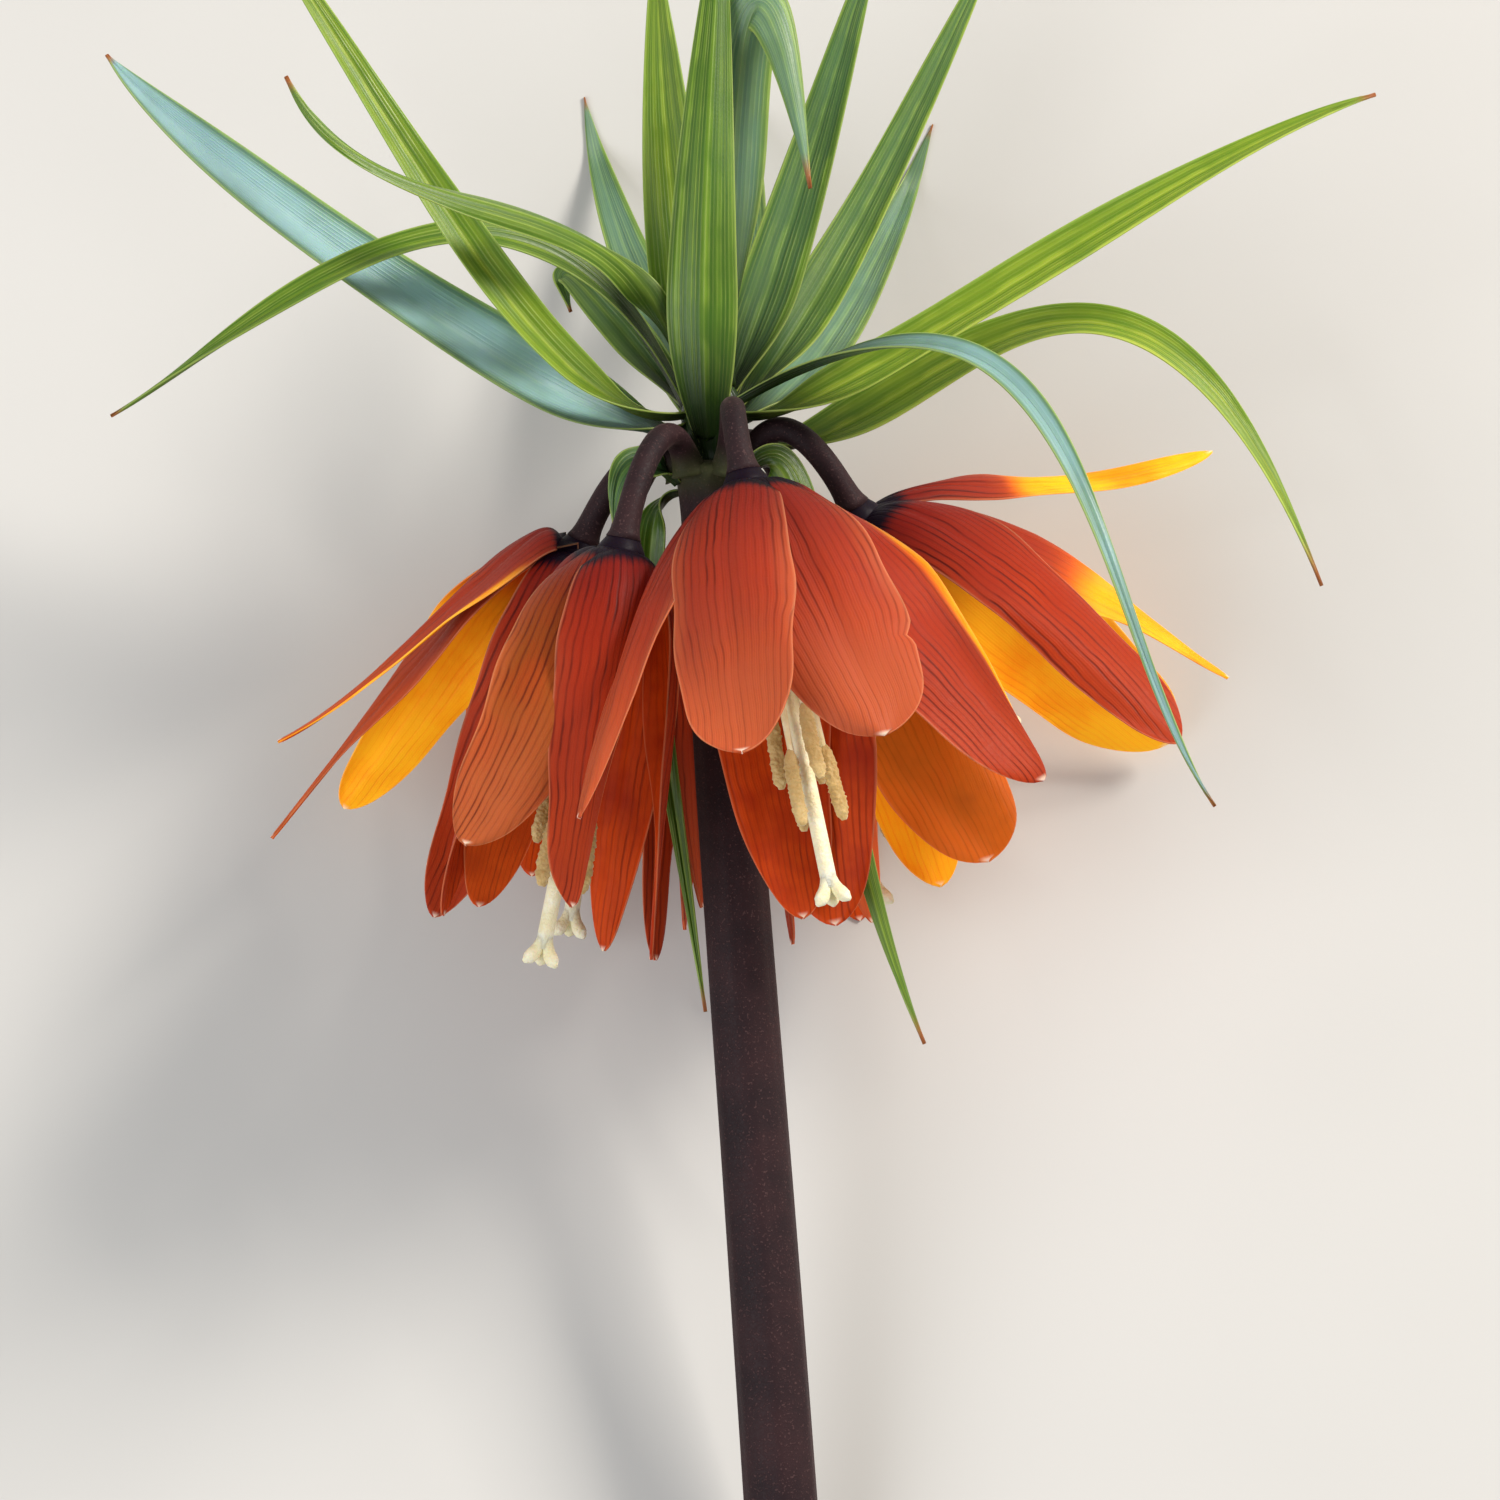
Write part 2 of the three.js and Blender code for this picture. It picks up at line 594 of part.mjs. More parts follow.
/** Middle surface of a leaf: channelled along its midrib, its upper side turned from foot to tip. */
function leafRows({ foot, spine, width, faces, taper = 2.2 }) {
  const curve = new THREE.CubicBezierCurve3(...[footAt(foot), ...spine].map(xyz));
  const ring = THREE.MathUtils.degToRad(foot[0]);
  const aroundCore = new THREE.Vector3(-Math.sin(ring), 0, Math.cos(ring));
  let lastSide = aroundCore;
  const rows = [];
  for (let i = 0; i <= leafSteps; i += 1) {
    const way = i / leafSteps;
    const tangent = curve.getTangent(way);
    const turn = THREE.MathUtils.degToRad(faces[0] + (faces[1] - faces[0]) * way);
    const face = new THREE.Vector3(0, Math.cos(turn), Math.sin(turn));
    const side = new THREE.Vector3().crossVectors(face, tangent).normalize();
    if (side.dot(lastSide) < 0) side.negate();
    lastSide = side.clone();
    side.lerp(aroundCore, 1 - smooth(way, 0, 0.3));
    side.addScaledVector(tangent, -side.dot(tangent)).normalize();
    const upper = new THREE.Vector3().crossVectors(side, tangent);
    const half = leafHalfWidth(way, width, taper);
    const row = [];
    for (let j = 0; j <= leafStrips; j += 1) {
      const across = 2 * j / leafStrips - 1;
      const point = curve.getPoint(way)
        .addScaledVector(side, half * across)
        .addScaledVector(upper, leafChannel * half * across ** 2);
      row.push(bendClear(point, [tableFor(leafThickness)]));
    }
    rows.push(row);
  }
  return rows;
}

for (const [name, leaf] of Object.entries(leaves)) {
  add(name, blade(leafRows(leaf), leafThickness), leafMaterial);
}

// --- Laid down ---
plant.rotation.x = tilt;
plant.position.set(sideShift, alongShift, umbelHeight);

const group = new THREE.Group();
group.add(plant);
export default group;
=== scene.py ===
"""A crown imperial, cut and laid down: a dark stem, six hanging bells and a crown of strap leaves.

Shapes are worked out in the plant's own frame, in millimetres: +Y runs up the stem, +Z is the side that
ends on top, and the origin is where the bells' stalks spring from the stem. Each finished mesh is then laid
on the table, in metres.
"""

import math

import bpy
import numpy as np
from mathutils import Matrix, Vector


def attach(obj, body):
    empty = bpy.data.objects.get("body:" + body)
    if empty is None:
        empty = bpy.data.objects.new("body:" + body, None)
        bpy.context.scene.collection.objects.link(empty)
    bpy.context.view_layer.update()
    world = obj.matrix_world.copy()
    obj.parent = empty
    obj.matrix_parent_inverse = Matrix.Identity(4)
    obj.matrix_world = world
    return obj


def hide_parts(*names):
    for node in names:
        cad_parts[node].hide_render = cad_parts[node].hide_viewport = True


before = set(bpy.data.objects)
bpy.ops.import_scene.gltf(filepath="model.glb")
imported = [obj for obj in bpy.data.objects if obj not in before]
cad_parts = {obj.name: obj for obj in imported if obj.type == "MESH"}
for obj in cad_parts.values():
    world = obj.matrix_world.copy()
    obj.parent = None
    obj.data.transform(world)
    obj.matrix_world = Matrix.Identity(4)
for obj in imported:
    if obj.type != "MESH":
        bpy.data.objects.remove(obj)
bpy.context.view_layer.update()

# --- How the cut stem lies ---
# A cut flower head rests on the backs of its rear bells and on the square end of its stem, so the whole
# plant leans back a little. The umbel is as high as brings the edge of that end down to the table.
LEAN = math.radians(10.5)
STEM_LENGTH = 182.0
STEM_TOP_RADIUS = 4.1
STEM_END_RADIUS = 5.3
UMBEL_HEIGHT = STEM_LENGTH * math.sin(LEAN) + STEM_END_RADIUS * math.cos(LEAN)
SIDE_SHIFT = -5.2
ALONG_SHIFT = 49.0
TABLE_UP = np.array([0.0, math.sin(LEAN), math.cos(LEAN)])


def laid_down(points):
    """Plant millimetres to table metres: turned by the lean about X, raised, and shifted."""
    x, y, z = np.moveaxis(points, -1, 0)
    along = y * math.cos(LEAN) - z * math.sin(LEAN) + ALONG_SHIFT
    height = y * math.sin(LEAN) + z * math.cos(LEAN) + UMBEL_HEIGHT
    return np.stack([x + SIDE_SHIFT, along, height], -1) / 1000


# --- Flowering stem ---
# One thick round stem of juicy green tissue under a dark purple skin with a velvety bloom. It bows
# slightly, thickens towards its lower end and is cut off square there.
STEM_TOP = np.array([1.0, 0.0, 0.0])
STEM_CORNERS = np.array([STEM_TOP, [1.0, -25.0, 0.0], [8.6, -110.0, 0.6], [13.2, -STEM_LENGTH, 0.0]])
FRONT = np.array([0.0, 0.0, 1.0])
STEM_FLARE = 1.4
STEM_RINGS = 118
STEM_FACETS = 48


def unit(vectors):
    """Vectors divided by their own length."""
    return vectors / np.maximum(np.linalg.norm(vectors, axis=-1, keepdims=True), 1e-9)


def smooth(x, low, high):
    """0 below low, 1 above high, and 3t2 - 2t3 between them."""
    t = np.clip((x - low) / (high - low), 0, 1)
    return t * t * (3 - 2 * t)


def bezier(corners, t):
    """Cubic Bezier curve: its four corners weighted by the Bernstein polynomials of t."""
    a, b, c, d = corners
    t = np.asarray(t)[:, None]
    return a * (1 - t) ** 3 + b * 3 * t * (1 - t) ** 2 + c * 3 * t**2 * (1 - t) + d * t**3


def bezier_direction(corners, t):
    """Unit tangent of that curve: the differences of its corners weighted by the quadratic polynomials."""
    a, b, c, d = corners
    t = np.asarray(t)[:, None]
    return unit((b - a) * (1 - t) ** 2 + (c - b) * 2 * t * (1 - t) + (d - c) * t**2)


def rings_about(centres, directions, radii, reference, sides):
    """Rings square to a path: centre + radius (cos turn, sin turn) in two directions across the path."""
    across = unit(np.cross(directions, reference))[:, None]
    beside = np.cross(directions[:, None], across)
    turn = (2 * np.pi * np.arange(sides) / sides)[None, :, None]
    radii = np.broadcast_to(np.asarray(radii).reshape(len(centres), -1), (len(centres), sides))
    return centres[:, None] + radii[..., None] * (across * np.cos(turn) + beside * np.sin(turn))


def turned_outwards(points, quads, triangles):
    """The faces with their order reversed if the solid's signed volume is negative."""
    fans = np.concatenate([quads[:, [0, 1, 2]], quads[:, [0, 2, 3]], triangles])
    a, b, c = (points[fans[:, k]] for k in range(3))
    if np.einsum("ij,ij->", a, np.cross(b, c)) < 0:
        return quads[:, ::-1], triangles[:, ::-1]
    return quads, triangles


def closed_tube(rings, **values):
    """A solid through rings of points: a quad between each two neighbours, and a fan at each end. Each value
    is given for each ring, or for each point, and is carried to the points."""
    steps, sides = rings.shape[:2]
    points = np.concatenate([rings.reshape(-1, 3), rings[[0, -1]].mean(1)])
    ring, side = np.meshgrid(np.arange(steps - 1), np.arange(sides), indexing="ij")
    a, b = ring * sides + side, ring * sides + (side + 1) % sides
    quads = np.stack([a, b, b + sides, a + sides], -1).reshape(-1, 4)
    near, far = np.arange(sides), np.arange(sides) + (steps - 1) * sides
    first = np.stack([np.full(sides, steps * sides), np.roll(near, -1), near], -1)
    last = np.stack([np.full(sides, steps * sides + 1), far, np.roll(far, -1)], -1)
    quads, triangles = turned_outwards(points, quads, np.concatenate([first, last]))
    carried = {}
    for name, value in values.items():
        value = np.asarray(value).reshape(steps, -1)
        carried[name] = np.concatenate([np.broadcast_to(value, (steps, sides)).ravel(), value[[0, -1], 0]])
    return points, quads, triangles, carried


def grow(name, solids, material, plain_node):
    """Puts closed solids into one smooth mesh on the table, with their values as point attributes. It takes
    the place of a plain node."""
    starts = np.cumsum([0] + [len(points) for points, *_ in solids])
    faces = []
    for start, (_, quads, triangles, _) in zip(starts, solids):
        faces += (quads + start).tolist() + (triangles + start).tolist()
    mesh = bpy.data.meshes.new(name)
    mesh.from_pydata(laid_down(np.concatenate([points for points, *_ in solids])).tolist(), [], faces)
    mesh.polygons.foreach_set("use_smooth", np.ones(len(faces), bool))
    for carried in solids[0][3]:
        layer = mesh.attributes.new(carried, "FLOAT", "POINT")
        layer.data.foreach_set("value", np.concatenate([s[3][carried] for s in solids]).astype(np.float32))
    mesh.update()
    piece = bpy.data.objects.new(name, mesh)
    bpy.context.scene.collection.objects.link(piece)
    mesh.materials.append(material)
    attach(piece, "root")
    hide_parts(plain_node)


def tint(code):
    """A colour as Blender wants it, from six hex digits: each part through the sRGB curve."""
    parts = [int(code[k : k + 2], 16) / 255 for k in (0, 2, 4)]
    return [p / 12.92 if p <= 0.04045 else ((p + 0.055) / 1.055) ** 2.4 for p in parts] + [1.0]


def new_tree(name):
    """A material and its empty node tree."""
    material = bpy.data.materials.new(name)
    material.use_nodes = True
    material.node_tree.nodes.clear()
    return material, material.node_tree


def node(tree, kind, inputs=None, **settings):
    """Adds a node, with its settings, and sets or joins each of its inputs."""
    made = tree.nodes.new("ShaderNode" + kind)
    for key, value in settings.items():
        setattr(made, key, value)
    for key, value in (inputs or {}).items():
        if isinstance(value, bpy.types.NodeSocket):
            tree.links.new(value, made.inputs[key])
        else:
            made.inputs[key].default_value = value
    return made


def sums(tree, operation, *terms):
    """A Math node's result."""
    return node(tree, "Math", dict(enumerate(terms)), operation=operation).outputs[0]


def ramp(tree, value, low, high, start=0.0, end=1.0):
    """A value that goes smoothly from start at low to end at high, and stays within them."""
    inputs = {"Value": value, "From Min": low, "From Max": high, "To Min": start, "To Max": end}
    return node(tree, "MapRange", inputs, interpolation_type="SMOOTHSTEP").outputs["Result"]


def blend(tree, share, first, second):
    """A colour between two, by a share from 0 to 1."""
    mix = tree.nodes.new("ShaderNodeMix")
    mix.data_type = "RGBA"
    for socket, value in ((mix.inputs[0], share), (mix.inputs[6], first), (mix.inputs[7], second)):
        if isinstance(value, bpy.types.NodeSocket):
            tree.links.new(value, socket)
        else:
            socket.default_value = value
    return mix.outputs[2]


def value_of(tree, name):
    """A point attribute's value."""
    return node(tree, "Attribute", attribute_name=name).outputs["Fac"]


def skin(tree, inputs):
    """The piece's own Principled shader, joined to the material's output."""
    shader = node(tree, "BsdfPrincipled", inputs)
    node(tree, "OutputMaterial", {"Surface": shader.outputs[0]})


def new_group(name, inputs, outputs):
    """A shader node group with its sockets, the inputs with their starting values, and its two end nodes."""
    tree = bpy.data.node_groups.new(name, "ShaderNodeTree")
    for label, start in inputs.items():
        tree.interface.new_socket(label, in_out="INPUT", socket_type="NodeSocketFloat").default_value = start
    for label in outputs:
        tree.interface.new_socket(label, in_out="OUTPUT", socket_type="NodeSocketFloat")
    return tree, tree.nodes.new("NodeGroupInput"), tree.nodes.new("NodeGroupOutput")


def make_mottle():
    """A group: soft patches and fine grain, as two values about 0.5, from noise in Object coordinates."""
    sizes = {"Patch size": 0.01, "Grain size": 0.0005}
    tree, given, result = new_group("mottle", sizes, ["Patches", "Grain"])
    place = node(tree, "TexCoord").outputs["Object"]
    for size, name, detail in (("Patch size", "Patches", 3.0), ("Grain size", "Grain", 2.0)):
        scale = sums(tree, "DIVIDE", 1.0, given.outputs[size])
        inputs = {"Vector": place, "Scale": scale, "Detail": detail, "Roughness": 0.6}
        tree.links.new(node(tree, "TexNoise", inputs).outputs[0], result.inputs[name])
    return tree


mottle_group = make_mottle()


def mottle(tree, patch, grain):
    """The mottle group placed in a material, with its two sizes in metres."""
    placed = node(tree, "Group", node_tree=mottle_group)
    placed.inputs["Patch size"].default_value = patch
    placed.inputs["Grain size"].default_value = grain
    return placed.outputs["Patches"], placed.outputs["Grain"]


def make_stem_skin():
    """Purple-brown skin with fine pale specks, greener at the umbel, and pale green flesh on the cut."""
    material, tree = new_tree("stem_skin")
    patches, grain = mottle(tree, 0.009, 0.0004)
    colour = blend(tree, ramp(tree, patches, 0.3, 0.7), tint("1f0f14"), tint("2f191c"))
    specks = ramp(tree, grain, 0.56, 0.72, 0, 0.35)
    colour = blend(tree, specks, colour, tint("6e5250"))
    green = sums(tree, "MULTIPLY", value_of(tree, "green"), 0.4)
    colour = blend(tree, green, colour, tint("4a5a26"))
    cut = value_of(tree, "cut")
    colour = blend(tree, cut, colour, tint("b9c38a"))
    height = sums(tree, "ADD", sums(tree, "MULTIPLY", grain, 0.7), sums(tree, "MULTIPLY", patches, 0.3))
    bump = node(tree, "Bump", {"Strength": 0.35, "Distance": 0.0002, "Height": height})
    skin(tree, {
        "Base Color": colour, "Roughness": ramp(tree, grain, 0.3, 0.7, 0.6, 0.8), "Normal": bump.outputs[0],
        "Sheen Weight": 0.1, "Sheen Roughness": 0.35, "Sheen Tint": tint("d8b4ae"),
        "Specular IOR Level": 0.25,
    })
    return material


stem_skin = make_stem_skin()


def stem_radius(down):
    """The stem's radius at a share of the way down: it grows evenly, past a flare that fades as a power."""
    return STEM_TOP_RADIUS + (STEM_END_RADIUS - STEM_TOP_RADIUS) * down + STEM_FLARE * (1 - down) ** 24


def stem_solid():
    """Rings along the bowed axis, with faint lengthwise ridges as two sines round the stem. Three narrower
    rings round over its top, and two pinch it slightly at the cut."""
    way = np.concatenate([[0, 0, 0], np.linspace(0.004, 1, STEM_RINGS), [1, 1]])
    turn = 2 * np.pi * np.arange(STEM_FACETS) / STEM_FACETS
    ridges = 0.06 * np.sin(7 * turn + 9 * way[:, None]) + 0.05 * np.sin(12 * turn[None] - 5 * way[:, None])
    radius = stem_radius(way)[:, None] + ridges * smooth(way, 0, 0.05)[:, None]
    radius[:3] *= np.array([0.45, 0.8, 0.95])[:, None]
    radius[-2:] *= np.array([0.93, 0.9])[:, None]
    centres = bezier(STEM_CORNERS, way)
    centres[:3, 1] += [1.3, 0.9, 0.4]
    centres[-1, 1] += 0.3
    directions = bezier_direction(STEM_CORNERS, way)
    rings = rings_about(centres, directions, radius, FRONT, STEM_FACETS)
    cut = np.where(np.arange(len(way)) >= len(way) - 2, 1.0, 0.0)
    return closed_tube(rings, cut=cut, green=smooth(way, 0.06, 0.0))


grow("flowering_stem", [stem_solid()], stem_skin, "stem")

# --- Bells: their tepals ---
# Each bell is six satin tepals in two layers, joined at a near-black collar. Dark veins run down the brick
# orange outside, and painted backlight turns parts of it golden. Crowded bells press flat on each other.
#
# A bell has a base, where its collar sits, the end of its pistil, its stalk's turn round the stem and, for a
# low stalk, its arch. A tepal has its tip and width, turns about its length by roll, leans aside at its
# middle, bulges outwards, and ends blunt at point 0 and drawn out at 1. Spread and rise move its shoulder.
# Its tone goes from red at 0 to tan at 1. Its glow is painted backlight, a golden colour where light would
# come through it, from onset on, and along one rim.
BELLS = {
    "front": dict(base=[5.6, -2.3, 22], pistil=[17.3, -58.6, 30], azimuth=61.15, tepals=[
        dict(tip=[45.7, -43.0, 28], width=21, roll=58, lean=4, point=0.2, tone=0.1, rim=-1),
        dict(tip=[24.0, -36.9, 48], width=19.5, roll=18, lean=1, bulge=4, tone=0.55, notch=-0.74),
        dict(tip=[5.2, -39.2, 54], width=17.5, bulge=3, tone=0.5),
        dict(tip=[-16.4, -47.9, 44], width=14, roll=-10, point=0.7, tone=0.4),
        dict(tip=[18.0, -62.9, 13], width=22, lean=2, bulge=1, point=0.3, tone=0.1),
        dict(tip=[13.5, -61.9, 16], width=20, bulge=1, point=0.3, tone=0.05),
    ]),
    "front_left": dict(base=[-11.2, -11.3, 18], pistil=[-22.1, -67.1, 20], azimuth=135, tepals=[
        dict(tip=[-16.8, -60.0, 35], width=19, roll=15, bulge=4, point=0.3, tone=0.15),
        dict(tip=[-31.9, -51.6, 32], width=19, roll=-30, lean=-4, bulge=1, point=0.3, tone=0.9),
        dict(tip=[-36.1, -61.5, 14], width=16, roll=-20, bulge=3, point=0.5, tone=0.1),
        dict(tip=[-32.5, -60.4, 9], width=18, lean=1, bulge=1, point=0.3, tone=0.5, glow=0.3),
        dict(tip=[-13.9, -66.6, 6], width=15, bulge=1, point=0.5, tone=0.3),
        dict(tip=[-6.8, -67.7, 12], width=12, bulge=1, point=0.7, tone=0.1),
    ]),
    "left": dict(base=[-17.4, -10.8, -2], pistil=[-36.5, -55, -8], azimuth=187, arch=5.5, tepals=[
        dict(tip=[-59.1, -37.8, 3], width=13, bulge=-5, spread=-5.5, rise=8.5, point=1.0, tone=0.4, rim=-1),
        dict(tip=[-60.9, -51.3, -10], width=12, roll=-20, lean=-2.5, point=1.0, tone=0.6, glow=0.15),
        dict(tip=[-37.5, -62.0, 4], width=16, point=0.4, tone=0.1),
        dict(tip=[-51.1, -47.1, -16], width=14, roll=50, lean=2, point=0.3, glow=1.0),
        dict(tip=[-33.2, -55.8, -14], width=15, bulge=1, point=0.4, tone=0.2),
        dict(tip=[-33.0, -38.0, -24], width=14, bulge=1, point=0.4, glow=0.4),
    ]),
    "right": dict(base=[21.0, -6.1, 2], pistil=[39, -39, -8], azimuth=8, tepals=[
        dict(tip=[64.9, -37.8, 16], width=16, lean=-2, bulge=3, rise=2, point=0.3, tone=0.1),
        dict(tip=[72.9, -28.9, -4], width=15, roll=20, rise=1, point=0.8, tone=0.3, glow=0.9, onset=0.6),
        dict(tip=[71.8, 3.4, -20], width=7, roll=30, bulge=-12, point=0.2, tone=0.4, glow=1.0, onset=0.55),
        dict(tip=[66.0, -37.9, -27], width=21, roll=-45, lean=-2, bulge=0, point=0.1, glow=1.0),
        dict(tip=[40.0, -35.0, -26], width=13, bulge=1, point=0.4, glow=0.5),
        dict(tip=[37.5, -40.0, 2], width=12, bulge=1, point=0.4, tone=0.2),
    ]),
    "back_right": dict(base=[14.2, -11.4, -18.5], pistil=[24, -60, -14.3], azimuth=302, tepals=[
        dict(tip=[39.3, -54.3, 2], width=21, roll=35, lean=2, bulge=3, point=0.1, tone=0.15, glow=0.5),
        dict(tip=[33.0, -58.0, -8], width=18, roll=50, lean=2, point=0.3, tone=0.5, glow=0.9),
        dict(tip=[23.2, -62.8, 2], width=14, point=0.6, tone=0.3, glow=0.3),
        dict(tip=[22, -63.7, -29], width=16, bulge=3, point=0.4, tone=0.2),
        dict(tip=[12.3, -66.3, -14], width=15, bulge=1, point=0.5, tone=0.1),
        dict(tip=[33, -54.7, -31], width=17, bulge=3, point=0.3, tone=0.6),
    ]),
    "back_left": dict(base=[-12.6, -12.6, -18.5], pistil=[-19.3, -64.3, -18], azimuth=242, tepals=[
        dict(tip=[-2.9, -64.2, -12], width=15, point=0.6, tone=0.1),
        dict(tip=[-7.0, -68.3, -6], width=15, point=0.6, tone=0.1),
        dict(tip=[-22, -55, -3], width=15, bulge=1, point=0.5, tone=0.3),
        dict(tip=[-32.2, -50.3, -24], width=17, point=0.4, tone=0.5),
        dict(tip=[-25, -57.5, -31], width=16, bulge=4, point=0.4, tone=0.2),
        dict(tip=[-0.5, -61.0, -8.5], width=13, bulge=1, point=0.6, tone=0.3),
    ]),
}
# Where two bells press on each other: a point of the flat between them, and the way to the second bell.
BORDERS = [
    ("front_left", "front", [8.4, 0, 0], [0.89, -0.11, 0.454]),
    ("right", "front", [11.1, 0, 0], [-0.72, -0.2, 0.66]),
    ("back_right", "right", [6, 0, 0], [0.72, 0.6, 0.36]),
    ("back_right", "front", [0, 0, 7], [0, 0, 1]),
    ("left", "front_left", [0, 0, -4.2], [0.45, 0, 0.9]),
    ("back_left", "left", [-8.3, 0, 0], [-0.75, 0.1, 0.65]),
    ("back_left", "front_left", [0, 0, 1], [0, 0, 1]),
    ("back_left", "back_right", [2.5, -60, -10], [1, 0.05, 0]),
]
# The way from the stem to each bell.
SIDE_OF_STEM = {
    "front": [0, 0, 1], "front_left": [-0.8, 0, 0.6], "left": [-1, 0, 0], "right": [1, 0, 0],
    "back_right": [0.5, 0, -0.87], "back_left": [-0.55, 0, -0.83],
}
STEM_MIDDLE = [2.5, 0, 0]
STEM_CLEARANCE = STEM_TOP_RADIUS + 2.2
BELL_CLEARANCE = 0.65
BORDER_SOFTNESS = 2.0
TABLE_SOFTNESS = 1.2
TEPAL_THICKNESS = 0.55
TEPAL_EDGE = 0.2
VEIN_SPACING = 1.2
TEPAL_ROOT = (2.6, 0.6)
OUTER_SHOULDER = (13.5, 0.0)
INNER_SHOULDER = (11.5, 1.5)
COLLAR = [(0.2, -1.9), (1.9, -1.7), (2.4, -1.1), (2.9, -0.3), (3.3, 0.5), (3.2, 2.6), (0.2, 2.6)]
COLLAR_FACETS = 24


def limits_of(bell_name, inside=0.0):
    """Planes that a bell keeps clear of, as (normal, offset, softness): stem, neighbours and table. What
    hangs inside the bell keeps further away from them."""
    planes = [(STEM_MIDDLE, SIDE_OF_STEM[bell_name], STEM_CLEARANCE + inside)]
    for first, second, through, normal in BORDERS:
        if bell_name == second:
            planes.append((through, normal, BELL_CLEARANCE + inside))
        if bell_name == first:
            planes.append((through, [-part for part in normal], BELL_CLEARANCE + inside))
    limits = []
    for through, normal, room in planes:
        normal = unit(np.array(normal, float))
        limits.append((normal, normal @ np.array(through, float) + room, BORDER_SOFTNESS))
    limits.append((TABLE_UP, TEPAL_THICKNESS / 2 + inside - UMBEL_HEIGHT, TABLE_SOFTNESS))
    return limits


def bent_clear(points, limits):
    """Points moved to the allowed side of each plane, with a smooth bend as wide as the softness."""
    for normal, offset, softness in limits:
        depth = points @ normal - offset
        bend = np.clip(depth + softness, 0, 2 * softness) ** 2 / (4 * softness)
        kept = np.where(depth >= softness, depth, bend)
        points = points + (kept - depth)[..., None] * normal
    return points


def blade(middle, outside, thickness, edge_thickness, **values):
    """A thin closed blade: the middle surface moved half a thickness both ways along its normal, which
    thins towards the margins as a cube, with the outer face, the inner face and the rim between them."""
    steps, strips = middle.shape[0] - 1, middle.shape[1] - 1
    normal = unit(np.cross(np.gradient(middle, axis=0), np.gradient(middle, axis=1)))
    normal *= np.sign(np.einsum("ijk,ijk->", normal, np.broadcast_to(outside, normal.shape)))
    half = 0.5 * (thickness + (edge_thickness - thickness) * np.abs(values["across"]) ** 3)[None, :, None]
    points = np.stack([middle + half * normal, middle - half * normal]).reshape(-1, 3)
    row, under = strips + 1, (steps + 1) * (strips + 1)
    i, j = np.meshgrid(np.arange(steps), np.arange(strips), indexing="ij")
    a = (i * row + j).ravel()
    outer = np.stack([a, a + row, a + row + 1, a + 1], -1)
    foot, end = np.arange(row), np.arange(row)[::-1] + steps * row
    margin = np.arange(1, steps) * row
    rim = np.concatenate([foot, margin + strips, end, margin[::-1]])
    ahead = np.roll(rim, -1)
    wall = np.stack([rim, ahead, ahead + under, rim + under], -1)
    quads = np.concatenate([outer, outer[:, ::-1] + under, wall])
    quads, triangles = turned_outwards(points, quads, np.zeros((0, 3), int))
    grid = middle.shape[:2]
    carried = {name: np.tile(np.broadcast_to(value, grid).ravel(), 2) for name, value in values.items()}
    carried["inside"] = np.repeat([0.0, 1.0], under)
    return points, quads, triangles, carried


def tepal_widths(way, width, point):
    """Half the width that a tepal opens to, as a sine to two thirds of the way, and the half width that is
    left of it once the tepal closes, to a blunt end or, by the share in point, to a drawn-out one."""
    open_half = 0.5 * width * (0.52 + 0.48 * np.sin(np.clip(way / 0.62, 0, 1) * np.pi / 2))
    blunt = (1 - np.clip((way - 0.5) / 0.5, 0, 1) ** 4) ** 0.6
    drawn_out = 0.82 * (1 - smooth(way, 0.38, 0.8)) + 0.18 * (1 - np.clip((way - 0.7) / 0.3, 0, 1))
    return open_half, np.maximum(open_half * (blunt + (drawn_out - blunt) * point), 0.14)


def tepal_relief(way, across, half, phase):
    """How far a tepal's surface stands out: a parabola hollow towards the pistil, a low keel as a bell
    curve, margins that wave as a sine, more so further out, and a swell between them."""
    slack = np.minimum(half / 4, 1)
    wave = 0.9 * across**2 * np.sin(9 * way + 2.2 * across + phase) * smooth(way, 0.25, 0.6) * slack
    swell = np.sin(5.5 * way + 1.7 * across + 2 * phase) * smooth(way, 0.15, 0.5)
    swell = 0.6 * (1 - across**2) * swell * slack
    keel = 0.4 * np.exp(-((across / 0.1) ** 2)) * smooth(way, 0.02, 0.15) * (1 - way) ** 0.5
    hollow = 0.16 + 0.3 * (1 - smooth(way, 0.05, 0.45)) - 0.1 * smooth(way, 0.6, 0.95)
    return wave + swell - keel - hollow * half * across**2


